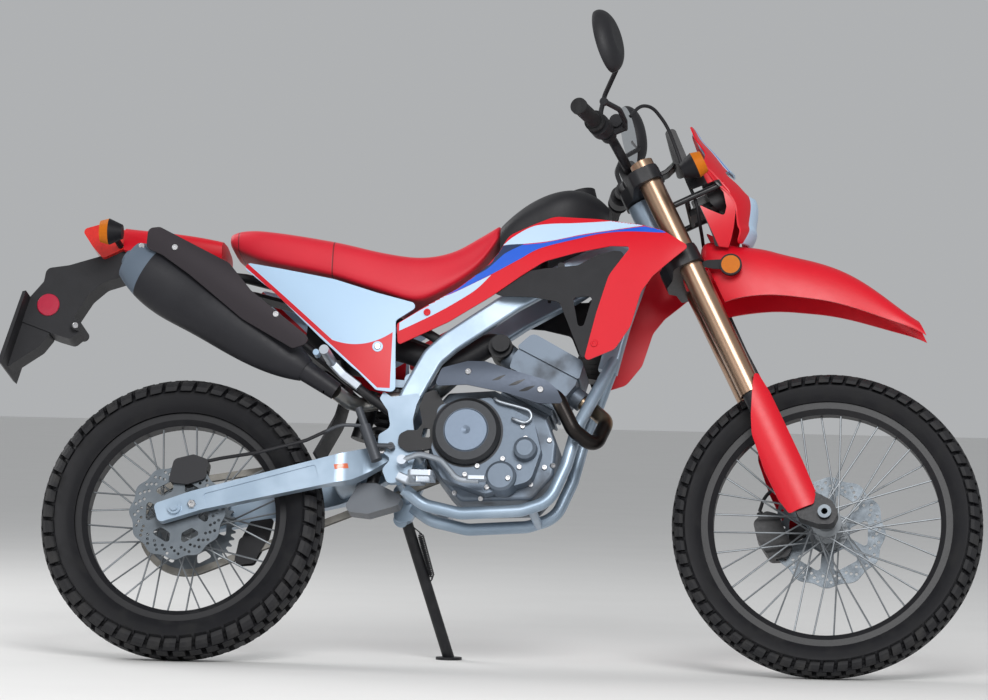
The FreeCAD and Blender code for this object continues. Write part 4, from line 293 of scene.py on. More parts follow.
def set_up(name, mesh, *finishes, matrix=None):
    """Makes an object of a drawn mesh, with its finishes, and sets it into place by a matrix."""
    made = bpy.data.meshes.new(name)
    mesh.to_mesh(made)
    mesh.free()
    if matrix:
        made.transform(matrix)
    piece = bpy.data.objects.new(name, made)
    bpy.context.scene.collection.objects.link(piece)
    for finish in finishes:
        made.materials.append(finish.material)
    return piece


def ring_round(mesh, middle, first, second, radius, sides):
    """A ring of points round a middle, in the plane of two directions."""
    angles = [2 * pi * step / sides for step in range(sides)]
    return [mesh.verts.new(middle + (first * cos(angle) + second * sin(angle)) * radius) for angle in angles]


def close_rings(mesh, rings):
    """The skin over rings of points, capped at both ends."""
    for near, far in zip(rings, rings[1:]):
        for step in range(len(near)):
            after = (step + 1) % len(near)
            mesh.faces.new((near[step], near[after], far[after], far[step]))
    mesh.faces.new(rings[-1])
    mesh.faces.new(list(reversed(rings[0])))


def turned_on(name, nodes, spots, side, finish, profile, sides=18):
    """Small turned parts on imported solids, at points in millimetres as seen from one side."""
    mesh = bmesh.new()
    out = sideways * side
    for x, z in spots:
        start = upright @ Vector((x / 1000, side * OUTSIDE, z / 1000))
        found = []
        for node in nodes:
            hit, place, normal, _ = frame["nodes"][node].ray_cast(start, -out)
            if hit:
                found.append(((place - start).length, place, normal))
        if not found:
            continue
        _, place, normal = min(found, key=lambda entry: entry[0])
        axis = normal if normal.dot(out) > SLIGHT_SLOPE else out
        first = (ahead - axis * axis.dot(ahead)).normalized()
        second = axis.cross(first)
        close_rings(mesh, [
            ring_round(mesh, place + axis * (height / 1000), first, second, radius / 1000, sides)
            for radius, height in profile
        ])
    bmesh.ops.recalc_face_normals(mesh, faces=mesh.faces)
    part = set_up(name, mesh, finish)
    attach(part, "chassis")


def cap_screw(radius, height):
    """The profile of a screw head with a hollow for the key, as radii and heights in millimetres."""
    return [
        (radius, -1.5), (radius, 0.75 * height), (0.86 * radius, height), (0.52 * radius, height),
        (0.46 * radius, 0.45 * height),
    ]


zinc_steel = Finish("zinc-plated screws", Metallic=0.95)
zinc_steel.shine(
    Base_Color=zinc_steel.between(zinc_steel.noise(90.0), (0.40, 0.40, 0.41), (0.55, 0.55, 0.56)),
    Roughness=0.26 + zinc_steel.noise(400.0) * 0.14,
)
RIGHT, LEFT = -1, 1
HANDS = ((RIGHT, "right"), (LEFT, "left"))
ENGINE = ["engine_covers", "crankcase", "cylinder_head"]
CASE_SCREWS = [
    (686, 367), (757, 362), (797, 401), (826, 441), (843, 446), (834, 504), (774, 430), (785, 496), (680, 430),
    (736, 448), (752, 400), (704, 382), (653, 410), (626, 378), (777, 524), (869, 473),
]
GENERATOR_X, GENERATOR_Z, GENERATOR_CIRCLE = 700, 490, 92
generator_screws = [
    (GENERATOR_X + GENERATOR_CIRCLE * cos(radians(40 * step)), GENERATOR_Z + GENERATOR_CIRCLE * sin(radians(40 * step)))
    for step in range(9)
]
SHIELD_SCREWS = [(653, 637), (816, 601), (-20, 897), (220, 745)]
FRAME_SCREWS = [(447, 508), (459, 468), (551, 570)]
NUT_PROFILE = [(10, -1), (10, 7), (8, 9), (5, 9), (5, 4)]
turned_on("case_screws_right", ENGINE, CASE_SCREWS, RIGHT, zinc_steel, cap_screw(6, 5))
turned_on("case_screws_left", ENGINE, generator_screws, LEFT, zinc_steel, cap_screw(6, 5))
turned_on("shield_screws", ["heat_shields"], SHIELD_SCREWS, RIGHT, zinc_steel, cap_screw(7, 4))
turned_on("silencer_screw", ["muffler"], [(-100, 905)], RIGHT, zinc_steel, cap_screw(7, 3))
for side, hand in HANDS:
    turned_on(f"frame_screws_{hand}", ["main_frame"], FRAME_SCREWS, side, zinc_steel, cap_screw(9, 5))
    turned_on(f"stop_screws_{hand}", ["plate_bracket"], [(-271, 760)], side, zinc_steel, cap_screw(7, 3))
    turned_on(f"adjuster_nut_{hand}", ["swingarm"], [(39, 331)], side, zinc_steel, NUT_PROFILE, 6)


# Exhaust: a stainless header that browns near the port and is near black over its front, all but the elbow, and a
# pressed steel silencer painted black.
# The silencer's end cap is grey, and dark sheet guards are screwed over header and silencer.
BROWNED, DARK_FRONT_SPAN = (0.62, 0.95), (0.83, 0.86)
pipe_steel = Finish("stainless pipe", Metallic=1.0)
x, y, z = pipe_steel.straight()
heat = x.step(*BROWNED) * (0.7 + pipe_steel.noise(8.0) * 0.5)
elbow = y.step(-0.075, -0.06) * z.step(0.53, 0.55)
# Near black over the header's front, all but the elbow at the port.
dark_front = x.step(*DARK_FRONT_SPAN) * (1 - elbow)
browned = pipe_steel.between(heat, (0.42, 0.41, 0.39), (0.30, 0.22, 0.14))
pipe_steel.shine(
    Base_Color=pipe_steel.between(dark_front, browned, (0.03, 0.027, 0.026)),
    Roughness=0.26 + pipe_steel.noise(90.0, 3.0) * 0.18,
)
dress(pipe_steel, "exhaust_header")

END_CAP_EDGE = -0.512
silencer_black = Finish("silencer black", Specular_IOR_Level=0.3)
x, _, z = silencer_black.straight()
along = x * 0.858 - z * 0.513
end_cap = 1 - along.above(END_CAP_EDGE, 0.0005)
paint = silencer_black.between(silencer_black.noise(20.0, 3.0), (0.008, 0.008, 0.011), (0.015, 0.015, 0.019))
silencer_black.shine(
    Base_Color=silencer_black.between(end_cap, paint, (0.10, 0.13, 0.17)),
    Roughness=0.42 + silencer_black.noise(120.0) * 0.15,
).bump(silencer_black.noise(1200.0), 0.1, 0.0004)
dress(silencer_black, "muffler")

BETWEEN_GUARDS = 0.53
guard_metal = Finish("guard sheet", Metallic=0.8)
x, _, _ = guard_metal.straight()
header_guard = x.above(BETWEEN_GUARDS, 0.03)
guard_metal.shine(
    Base_Color=guard_metal.between(header_guard, (0.035, 0.030, 0.034), (0.085, 0.10, 0.13)),
    Roughness=0.4 + guard_metal.noise(140.0) * 0.15,
)
dress(guard_metal, "heat_shields")


# Chain, sprocket and discs: oiled steel side plates and rollers on a ground steel sprocket.
# The brake discs and the front axle are ground steel too, dulled by the weather.
chain_steel = Finish("oiled chain steel", Metallic=0.9)
chain_steel.shine(
    Base_Color=chain_steel.between(chain_steel.noise(60.0, 3.0), (0.16, 0.15, 0.13), (0.30, 0.29, 0.27)),
    Roughness=0.3 + chain_steel.noise(200.0) * 0.25,
)
dress(chain_steel, "chain")

ground_steel = Finish("ground disc steel", Metallic=1.0)
ground_steel.shine(
    Base_Color=ground_steel.between(ground_steel.noise(40.0, 4.0), (0.10, 0.115, 0.13), (0.17, 0.19, 0.21)),
    Roughness=0.42 + ground_steel.noise(250.0, 2.0) * 0.14,
)
dress(ground_steel, "front_disc", "rear_disc", "rear_sprocket", "front_axle")


# Rims: aluminium, rolled to a channel, welded to a hoop and anodised black.
# The spokes of the hubs end in them.
rim_black = Finish("black anodised rim", Specular_IOR_Level=0.35)
rim_black.shine(
    Base_Color=rim_black.between(rim_black.noise(50.0), (0.007, 0.007, 0.009), (0.014, 0.014, 0.016)),
    Roughness=0.4 + rim_black.noise(400.0) * 0.1,
)
dress(rim_black, "front_rim", "rear_rim")


# Tyres: block-pattern rubber, a carcass with rows of knobs moulded on it, painted darker between the blocks as shade.
# Each knob is a tapered block that follows the crown, and the shoulder rows are longer across.
CROWN_STEPS = 6
TURN_STEPS = 96
KNOB_ROOT, KNOB_TAPER = 0.002, 0.0016


def smooth_line(points, count):
    """Evenly shared points of a smooth curve through the given ones."""
    made = []
    for step in range(count):
        along = step / (count - 1) * (len(points) - 1)
        index = min(int(along), len(points) - 2)
        share = along - index
        near, start = points[max(index - 1, 0)], points[index]
        end, far = points[index + 1], points[min(index + 2, len(points) - 1)]
        made.append(tuple(
            0.5 * (2 * b + (c - a) * share + (2 * a - 5 * b + 4 * c - d) * share ** 2
                   + (3 * b - a - 3 * c + d) * share ** 3)
            for a, b, c, d in zip(near, start, end, far)
        ))
    return made


def crown_line(width, radius, rim_radius):
    """Points across the tread from bead to bead, over the tips of the knobs."""
    half, wall = width / 2, radius - rim_radius
    side = [
        (0.0, radius), (0.30 * half, radius), (0.72 * half, radius - 0.09 * wall), (0.97 * half, radius - 0.27 * wall),
        (half, radius - 0.48 * wall), (0.84 * half, radius - 0.78 * wall), (0.62 * half, radius - wall),
    ]
    line = [(-across, out) for across, out in reversed(side[1:])] + side
    return smooth_line(line, CROWN_STEPS * (len(line) - 1) + 1)


def on_line(line, distance, drop):
    """The point at a distance along the crown from its middle, sunk by a depth."""
    middle = len(line) // 2
    step = 1 if distance >= 0 else -1
    left, index = abs(distance), middle
    while 0 < index + step < len(line) - 1:
        start, end = Vector(line[index]), Vector(line[index + step])
        run = (end - start).length
        if run >= left:
            break
        left -= run
        index += step
    start, end = Vector(line[index]), Vector(line[index + step])
    way = (end - start).normalized()
    spot = start + way * left
    normal = Vector((-way.y, way.x)) * (1 if step > 0 else -1)
    if normal.y < 0 and abs(way.x) > 0.02:
        normal = -normal
    return spot - normal * drop


def knobbly_tyre(name, wheel, rows, body, node, width, radius, rim_radius, depth):
    """Carcass and knobs of one tyre, each row given as (place, width, length, count, shift, skew)."""
    line = crown_line(width, radius, rim_radius)
    mesh = bmesh.new()
    carcass = []
    middle = len(line) // 2
    for index in range(len(line)):
        here = Vector(line[index])
        before, after = Vector(line[max(index - 1, 0)]), Vector(line[min(index + 1, len(line) - 1)])
        way = (after - before).normalized()
        normal = Vector((-way.y, way.x))
        share = min(1, max(0, 1 - (abs(index - middle) - 3 * CROWN_STEPS) / CROWN_STEPS))
        carcass.append(here - normal * (depth * share + 0.0004))
    rings = []
    for turn in range(TURN_STEPS):
        angle = 2 * pi * turn / TURN_STEPS
        rings.append([mesh.verts.new((p.y * cos(angle), p.x, p.y * sin(angle))) for p in carcass])
    for turn in range(TURN_STEPS):
        first, second = rings[turn], rings[(turn + 1) % TURN_STEPS]
        for index in range(len(carcass) - 1):
            mesh.faces.new((first[index], first[index + 1], second[index + 1], second[index]))
    for place, across, length, count, shift, skew in rows:
        for knob in range(count):
            angle = 2 * pi * (knob + shift) / count
            layers = []
            for drop, grow in ((0.0, 0.0), (depth + KNOB_ROOT, KNOB_TAPER)):
                layer = []
                for share in (-1, -0.33, 0.33, 1):
                    spot = on_line(line, place + share * (across / 2 + grow), drop)
                    for way in (-1, 1):
                        turn = angle + (way * (length / 2 + grow) + skew * share * across) / radius
                        layer.append(mesh.verts.new((spot.y * cos(turn), spot.x, spot.y * sin(turn))))
                layers.append(layer)
            top, base = layers
            for index in range(3):
                a, b = 2 * index, 2 * index + 1
                # The knob tops take the lighter rubber, partly dust and partly painted light.
                mesh.faces.new((top[a], top[b], top[b + 2], top[a + 2])).material_index = 1
                mesh.faces.new((top[a], top[a + 2], base[a + 2], base[a]))
                mesh.faces.new((top[b + 2], top[b], base[b], base[b + 2]))
            mesh.faces.new((top[1], top[0], base[0], base[1]))
            mesh.faces.new((top[6], top[7], base[7], base[6]))
    bmesh.ops.recalc_face_normals(mesh, faces=mesh.faces)
    tyre = set_up(name, mesh, carcass_rubber_painted_shade, knob_rubber_dust_and_painted_light, matrix=wheel)
    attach(tyre, body)
    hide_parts(node)


def rubber(name, clean, dusty):
    """Rubber with a little dust, and a fine grain."""
    made = Finish(name, Specular_IOR_Level=0.3)
    dust = made.noise(26.0, 4.0).step(0.45, 0.75)
    made.shine(Base_Color=made.between(dust, clean, dusty), Roughness=0.6 + dust * 0.2)
    return made.bump(made.noise(600.0), 0.15, 0.0005)


# The carcass is painted darker as shade in the gaps; the knob tops are lighter, partly dust and partly painted light.
carcass_rubber_painted_shade = rubber("carcass rubber with painted shade", (0.006, 0.006, 0.008), (0.014, 0.014, 0.015))
knob_rubber_dust_and_painted_light = rubber("knob rubber with dust and painted light", (0.016, 0.016, 0.018), (0.035, 0.034, 0.034))
FRONT_ROWS = [
    (0.0, 0.024, 0.022, 66, 0.0, 0.0), (0.023, 0.016, 0.022, 66, 0.5, 0.0), (-0.023, 0.016, 0.022, 66, 0.5, 0.0),
    (0.045, 0.024, 0.0235, 66, 0.0, 0.1), (-0.045, 0.024, 0.0235, 66, 0.0, -0.1),
]
REAR_ROWS = [
    (0.0, 0.036, 0.026, 52, 0.0, 0.0), (0.033, 0.022, 0.027, 52, 0.5, 0.0), (-0.033, 0.022, 0.027, 52, 0.5, 0.0),
    (0.062, 0.031, 0.029, 52, 0.0, 0.1), (-0.062, 0.031, 0.029, 52, 0.0, -0.1),
]
FRONT_SIZE = {"width": 0.086, "radius": 0.346, "rim_radius": 0.280, "depth": 0.009}
REAR_SIZE = {"width": 0.117, "radius": 0.322, "rim_radius": 0.242, "depth": 0.011}
front_axle = Vector(joints["front_wheel_spin"]["pos_m"])
front_wheel = standing(front_axle, ahead, sideways, upward)
rear_wheel = standing(rear_axle, ahead, sideways, upward)
knobbly_tyre("front_knobbly", front_wheel, FRONT_ROWS, "front_wheel", "front_tyre", **FRONT_SIZE)
knobbly_tyre("rear_knobbly", rear_wheel, REAR_ROWS, "rear_wheel", "rear_tyre", **REAR_SIZE)


# Fork tubes: drawn aluminium, ground and anodised gold.
# They are clamped in the bridges, and slide into the black lower legs.
gold_anodised = Finish("gold anodised tube", Metallic=0.95)
gold_anodised.shine(
    Base_Color=gold_anodised.between(gold_anodised.noise(18.0), (0.38, 0.25, 0.17), (0.45, 0.30, 0.21)),
    Roughness=0.24 + gold_anodised.noise(300.0) * 0.12,
)
dress(gold_anodised, "fork_tubes")


# Red bodywork: shrouds, fork guards, fender and tail of injection-moulded plastic, coloured through.
# The mask round the lamp has a white front, blue lines and black arms and stays. What turns with the bars is drawn
# with u ahead of the steering axis and w along it.
MOULDED_RED = (0.58, 0.002, 0.013)
# The whites are white plastic and vinyl, tinted blue as painted shade under the sky.
WHITE_IN_PAINTED_SKY_SHADE = (0.46, 0.62, 0.80)
red_plastic = Finish("red bodywork", Specular_IOR_Level=0.4)
red_plastic.shine(
    Base_Color=red_plastic.between(red_plastic.noise(6.0), (0.56, 0.002, 0.012), (0.64, 0.003, 0.016)),
    Roughness=0.36 + red_plastic.noise(60.0, 3.0) * 0.08,
).bump(red_plastic.noise(1500.0), 0.03, 0.0002)
dress(red_plastic, "tank_shrouds", "fork_guards", "front_fender", "tail_fender")

ARM_TOP, ARM_FRONT, ARM_INNER_SIDE = 0.0185, 0.178, 0.089
BACK_STAY_FRONT, UPPER_STAY_FRONT, UPPER_STAY_FOOT = 0.113, 0.150, -0.012
WHITE_BACK, WIDEST, BLUE_INNER, BLUE_OUTER, BLUE_FOOT = 0.1205, 0.058, -0.014, -0.007, 0.04
steer_up = Vector(joints["steering"]["axis"])
steering = standing(Vector(joints["steering"]["pos_m"]), sideways.cross(steer_up), sideways, steer_up)
mask_plastic = Finish("mask plastic", Specular_IOR_Level=0.4)
u, y, w = mask_plastic.straight(steering)
arm = w.inside(0.0, ARM_TOP) * (1 - u.above(ARM_FRONT)) * y.size().above(ARM_INNER_SIDE)
back_stay = 1 - u.above(BACK_STAY_FRONT, 0.0005)
upper_stay = (1 - u.above(UPPER_STAY_FRONT)) * w.above(UPPER_STAY_FOOT)
frame_part = back_stay.most(upper_stay).most(arm)
half_width = (0.060 - (w - 0.05) * 0.22).least(WIDEST)
past_white = y.size() - half_width
white_front = (1 - past_white.above(0, 0.0006)) * u.above(WHITE_BACK, 0.0005)
blue_line = past_white.inside(BLUE_INNER, BLUE_OUTER) * w.above(BLUE_FOOT, 0.01)
shell = mask_plastic.between(white_front, MOULDED_RED, WHITE_IN_PAINTED_SKY_SHADE)
shell = mask_plastic.between(blue_line, shell, (0.012, 0.10, 0.58))
mask_plastic.shine(
    Base_Color=mask_plastic.between(frame_part, shell, (0.010, 0.010, 0.012)),
    Roughness=0.3 + mask_plastic.noise(60.0, 3.0) * 0.08,
)
dress(mask_plastic, "headlight_mask")


# Shroud graphics: cut vinyl in white, blue and navy, laid on the red shrouds and swept along the tank.
# Each is a thin film that follows the panel under it.
def film_on(node, name, top, bottom, side, finish, lift=0.0004, columns=220, rows=14):
    """A film between two lines in millimetres, pressed from one side onto a packed panel."""
    panel = frame["nodes"][node]
    upper, lower = smooth_line(top, columns), smooth_line(bottom, columns)
    mesh = bmesh.new()
    grid = []
    out = sideways * side
    for (x1, z1), (x2, z2) in zip(upper, lower):
        line = []
        for row in range(rows):
            share = row / (rows - 1)
            x, z = x1 + (x2 - x1) * share, z1 + (z2 - z1) * share
            spot = upright @ Vector((x / 1000, side * OUTSIDE, z / 1000))
            hit, place, _, _ = panel.ray_cast(spot, -out)
            line.append(mesh.verts.new(place + out * lift) if hit else None)
        grid.append(line)
    for first, second in zip(grid, grid[1:]):
        for row in range(rows - 1):
            corners = [first[row], first[row + 1], second[row + 1], second[row]]
            if None not in corners:
                mesh.faces.new(corners)
    loose = [vert for vert in mesh.verts if not vert.link_faces]
    bmesh.ops.delete(mesh, geom=loose, context="VERTS")
    for face in mesh.faces:
        face.normal_update()
        if face.normal.dot(out) < 0:
            face.normal_flip()
        face.smooth = True
    film = set_up(name, mesh, finish)
    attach(film, "chassis")


def film_finish(name, first, second):
    """Cut vinyl under a clear coat, between two near colours; the same finish gives the painted shade in the guard's
    slots.
    """
    film = Finish(name, Coat_Weight=0.5, Coat_Roughness=0.1)
    return film.shine(
        Base_Color=film.between(film.noise(5.0), first, second), Roughness=0.26 + film.noise(80.0) * 0.06,
    )


# White vinyl, tinted blue as painted shade under the sky.
white_film = film_finish("white film", WHITE_IN_PAINTED_SKY_SHADE, (0.52, 0.67, 0.84))
blue_film = film_finish("blue film", (0.010, 0.085, 0.55), (0.014, 0.11, 0.62))
navy_film = film_finish("navy film", (0.010, 0.022, 0.07), (0.014, 0.03, 0.09))
UPPER_WHITE = (
    [(712, 945), (734, 966), (774, 992), (815, 999), (873, 1000), (940, 1003), (981, 1006), (1033, 1005), (1098, 996)],
    [(712, 944), (756, 947), (808, 952), (854, 961), (890, 969), (941, 977), (982, 983), (1034, 990), (1099, 995)],
)
BLUE = (
    [
        (537, 809), (585, 840), (645, 868), (686, 898), (722, 938), (808, 950), (890, 967), (982, 981), (1059, 988),
        (1126, 970),
    ],
    [
        (537, 808), (606, 834), (687, 874), (748, 908), (798, 936), (880, 958), (931, 970), (993, 975), (1071, 970),
        (1126, 969),
    ],
)
NAVY = (
    [(600, 848), (645, 874), (686, 901), (700, 930), (716, 944), (758, 947)],
    [(600, 847), (640, 866), (676, 886), (700, 908), (720, 926), (758, 946)],
)
LOWER_WHITE = (
    [(484, 770), (510, 789), (535, 807), (570, 820), (606, 833), (687, 873)],
    [(484, 744), (507, 755), (557, 780), (600, 804), (653, 838), (687, 872)],
)
for side, hand in HANDS:
    film_on("tank_shrouds", f"white_sweep_{hand}", *UPPER_WHITE, side, white_film)
    film_on("tank_shrouds", f"blue_sweep_{hand}", *BLUE, side, blue_film, 0.0006)
    film_on("tank_shrouds", f"navy_edge_{hand}", *NAVY, side, navy_film, 0.0008)
    film_on("tank_shrouds", f"white_tail_{hand}", *LOWER_WHITE, side, white_film)


# Side covers: moulded panels, white over a red part that runs down to the pivot plate, with white edges.
# Black heel guards of thin plastic are screwed to their lower ends.
RED_STRIP, LOWER_EDGE, CORNER_HEIGHT, FRONT_EDGE = 1.008, 0.9951, 0.609, 0.471
GUARD_BACK, GUARD_TOP = 0.488, 0.620
cover_panel = Finish("side cover plastic", Specular_IOR_Level=0.4)
x, _, z = cover_panel.straight()
along = x - 0.37
white_line = 0.7077 - along * 0.1053 + along * along * (3.6168 + along * 4.0899)
slant = z + x * 0.872
white = (z - white_line).above(0, 0.0006) * slant.above(RED_STRIP, 0.0005)
lower_edge = 1 - slant.above(LOWER_EDGE, 0.0003).least(z.above(CORNER_HEIGHT, 0.0005))
front_edge = x.above(FRONT_EDGE, 0.0005)
guard = x.above(GUARD_BACK) * (1 - z.above(GUARD_TOP))
# The white of the cover is tinted blue as painted shade under the sky.
panel = cover_panel.between(white.most(lower_edge).most(front_edge), MOULDED_RED, (0.42, 0.58, 0.76))
cover_panel.shine(
    Base_Color=cover_panel.between(guard, panel, DEEP_BLACK),
    Roughness=0.3 + cover_panel.noise(60.0, 3.0) * 0.08,
)
dress(cover_panel, "side_covers")


# Black plastic: grained polypropylene of the tank top, supports, airbox, mudguard and mirror shells.
# The grips are ribbed rubber, and the meter is a black case with a pale screen.
black_plastic = Finish("grained black plastic", Specular_IOR_Level=0.35)
black_plastic.shine(
    Base_Color=black_plastic.between(black_plastic.noise(30.0, 3.0), DEEP_BLACK, (0.016, 0.016, 0.019)),
    Roughness=0.48 + black_plastic.noise(200.0) * 0.15,
).bump(black_plastic.noise(1800.0, 3.0), 0.2, 0.0004)
dress(
    black_plastic, "fuel_tank", "shroud_supports", "airbox", "plate_bracket", "bar_controls", "mirrors", "chain_guides",
    "front_hose",
)

RIB_PITCH = 0.005
grip_rubber = Finish("ribbed grip rubber", Specular_IOR_Level=0.3)
_, y, _ = grip_rubber.straight(steering)
grip_rubber.shine(
    Base_Color=grip_rubber.between(grip_rubber.noise(50.0), (0.008, 0.008, 0.009), (0.016, 0.016, 0.017)),
    Roughness=0.62 + grip_rubber.noise(200.0) * 0.12,
).bump((y * (2 * pi / RIB_PITCH)).sine(), 0.6, 0.0008)
dress(grip_rubber, "grips")

SCREEN_FOOT, SCREEN_TOP, SCREEN_HALF = 0.126, 0.184, 0.044
meter_case = Finish("meter with its screen", Specular_IOR_Level=0.4)
u, y, w = meter_case.straight(steering)
on_face = 1 - (u - 0.104 - (w - 0.112) * 0.1667).above(0.0009, 0.0003)
screen = on_face * (1 - y.size().above(SCREEN_HALF, 0.0005)) * w.inside(SCREEN_FOOT, SCREEN_TOP)
meter_case.shine(
    Base_Color=meter_case.between(screen, (0.010, 0.010, 0.012), (0.16, 0.18, 0.17)),
    Roughness=0.34 + meter_case.noise(200.0) * 0.12,
)
dress(meter_case, "instrument")


# Mirror glass: the flat face that each mirror's shell turns to the rider, silvered behind.
# The left and the right glass look a little inwards.
mirror_glass = Finish("mirror glass", Metallic=1.0)
mirror_glass.shine(
    Base_Color=mirror_glass.between(mirror_glass.noise(12.0), (0.66, 0.70, 0.74), (0.72, 0.76, 0.80)),
    Roughness=0.04 + mirror_glass.noise(60.0) * 0.03,
)
SAME_WAY = 0.995
mirror_mesh = frame["nodes"]["mirrors"].data
mirror_mesh.materials.append(mirror_glass.material)
for side in (RIGHT, LEFT):
    facing = (steering.to_3x3() @ Vector((-0.92, -side * 0.34, 0.2))).normalized()
    for face in mirror_mesh.polygons:
        if face.normal.dot(facing) > SAME_WAY:
            face.material_index = 1


# Seat: foam under a stretched red cover, on a plastic base, held by the tank's tongue and two bolts.
# The cover is one stretched skin with a seam ahead of the pillion part and one across its rear edge.
# A station gives x, the base's half width and height, the side's half width and height, and the top's height.
SEAT_STATIONS = [
    (0.072, 0.070, 0.956, 0.074, 0.966, 0.978), (0.100, 0.082, 0.936, 0.090, 0.966, 0.989),
    (0.160, 0.098, 0.910, 0.106, 0.962, 0.988),
    (0.320, 0.110, 0.874, 0.112, 0.934, 0.966), (0.440, 0.110, 0.838, 0.106, 0.911, 0.942),
    (0.520, 0.104, 0.822, 0.098, 0.904, 0.936), (0.590, 0.092, 0.858, 0.084, 0.910, 0.956),
    (0.650, 0.074, 0.912, 0.068, 0.944, 0.996), (0.696, 0.060, 0.988, 0.054, 1.006, 1.026),
]
SEAT_BACK, SEAT_FRONT = 0.074, 0.694


def between_stations(stations, x):
    """All values of a station at x, along a smooth line through the given ones."""
    index = 0
    while index < len(stations) - 2 and stations[index + 1][0] < x:
        index += 1
    before, start = stations[max(index - 1, 0)], stations[index]
    end, after = stations[index + 1], stations[min(index + 2, len(stations) - 1)]
    run = end[0] - start[0]
    share = (x - start[0]) / run
    made = []
    for a, b, c, d in zip(before, start, end, after):
        first = (c - a) / (end[0] - before[0]) * run
        last = (d - b) / (after[0] - start[0]) * run
        made.append(
            (2 * share ** 3 - 3 * share ** 2 + 1) * b + (share ** 3 - 2 * share ** 2 + share) * first
            + (3 * share ** 2 - 2 * share ** 3) * c + (share ** 3 - share ** 2) * last
        )
    return made


def seat_skin(columns=60):
    """The cover's mesh: a ring of points at each column, and a cap at both ends."""
    mesh = bmesh.new()
    rings = []
    for column in range(columns + 1):
        x = SEAT_BACK + (SEAT_FRONT - SEAT_BACK) * column / columns
        _, low_half, low, side_half, side, top = between_stations(SEAT_STATIONS, x)
        rise = top - side
        half = [
            (0.0, low), (0.5 * low_half, low), (0.92 * low_half, low), (low_half, low + 0.006),
            (low_half * 0.5 + side_half * 0.5 + 0.002, (low + side) / 2), (side_half, side - 0.004),
            (side_half * 0.95, side + rise * 0.45), (side_half * 0.80, side + rise * 0.80),
            (side_half * 0.522, side + rise * 0.95), (side_half * 0.25, top), (0.0, top),
        ]
        right = [(-across, height) for across, height in half]
        left = [(across, height) for across, height in reversed(half[1:-1])]
        rings.append([mesh.verts.new((x, across, height)) for across, height in right + left])
    for first, second in zip(rings, rings[1:]):
        for index in range(len(first)):
            after = (index + 1) % len(first)
            mesh.faces.new((first[index], second[index], second[after], first[after]))
    mesh.faces.new(rings[0])
    mesh.faces.new(list(reversed(rings[-1])))
    bmesh.ops.recalc_face_normals(mesh, faces=mesh.faces)
    for face in mesh.faces:
        face.smooth = True
    return mesh


PILLION_SEAM, REAR_SEAM = (0.3205, 0.3235), (0.098, 0.1005)
seat_cover = Finish("red seat cover", Sheen_Weight=0.15, Sheen_Roughness=0.4)
x, _, _ = seat_cover.straight()
seam = x.inside(*PILLION_SEAM).most(x.inside(*REAR_SEAM))
cloth = seat_cover.between(seat_cover.noise(12.0, 3.0), (0.54, 0.003, 0.018), (0.62, 0.004, 0.022))
seat_cover.shine(
    Base_Color=seat_cover.between(seam, cloth, (0.14, 0.003, 0.006)),
    Roughness=0.5 + seat_cover.noise(250.0) * 0.12,
).bump(seat_cover.noise(900.0, 3.0) - seam * 3.0, 0.3, 0.0005)
seat_pad = set_up("seat_pad", seat_skin(), seat_cover, matrix=upright)
rounding = seat_pad.modifiers.new("rounding", "SUBSURF")
rounding.levels = rounding.render_levels = 1
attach(seat_pad, "chassis")
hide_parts("seat")


# Lamps: a clear lens over the headlight's bowl in a black housing, and a red tail lamp.
# The indicators and the round reflectors on the fork have amber lenses on black moulded stems.
clear_lens = Finish("clear lens", IOR=1.5, Coat_Weight=0.6)
clear_lens.shine(
    Base_Color=clear_lens.between(clear_lens.noise(40.0), (0.55, 0.58, 0.60), (0.70, 0.73, 0.75)),
    Roughness=0.12 + clear_lens.noise(90.0) * 0.08, Metallic=0.4,
)
dress(clear_lens, "headlight")
LENS_SLOPE = 0.6
lamp_mesh = frame["nodes"]["headlight"].data
lamp_mesh.materials.append(black_plastic.material)
forward = steering.to_3x3() @ Vector((1, 0, 0))
for face in lamp_mesh.polygons:
    if face.normal.dot(forward) < LENS_SLOPE:
        face.material_index = 1

rear_lamp = Finish("rear indicator", Specular_IOR_Level=0.2)
x, _, _ = rear_lamp.straight()
front_lamp = Finish("front indicator and reflector", Specular_IOR_Level=0.2)
u, across, w = front_lamp.straight(steering)
REFLECTOR_U, REFLECTOR_W, REFLECTOR_RADIUS, REFLECTOR_SIDE = 0.118, -0.172, 0.021, 0.099
away = (u - REFLECTOR_U) ** 2 + (w - REFLECTOR_W) ** 2
reflector = (1 - away.above(REFLECTOR_RADIUS ** 2, 0.000004)) * across.size().above(REFLECTOR_SIDE, 0.0005)
REAR_LENS_FRONT, FRONT_LENS_BACK = -0.186, 0.138
for lamp, share, node in (
    (rear_lamp, 1 - x.above(REAR_LENS_FRONT, 0.0005), "rear_indicators"),
    (front_lamp, (u.above(FRONT_LENS_BACK, 0.0005) * w.above(0.0005, 0.0005)).most(reflector), "front_indicators"),
):
    lens = lamp.between(lamp.noise(120.0), (0.46, 0.115, 0.002), (0.54, 0.15, 0.004))
    lamp.shine(Base_Color=lamp.between(share, DEEP_BLACK, lens), Roughness=0.48 + lamp.noise(200.0) * 0.1)
    dress(lamp, node)

red_lens = Finish("red lens", Coat_Weight=0.5, Coat_Roughness=0.08)
red_lens.shine(
    Base_Color=red_lens.between(red_lens.noise(120.0), (0.50, 0.008, 0.006), (0.72, 0.02, 0.01)),
    Roughness=0.2 + red_lens.noise(200.0) * 0.1,
)
dress(red_lens, "tail_light")
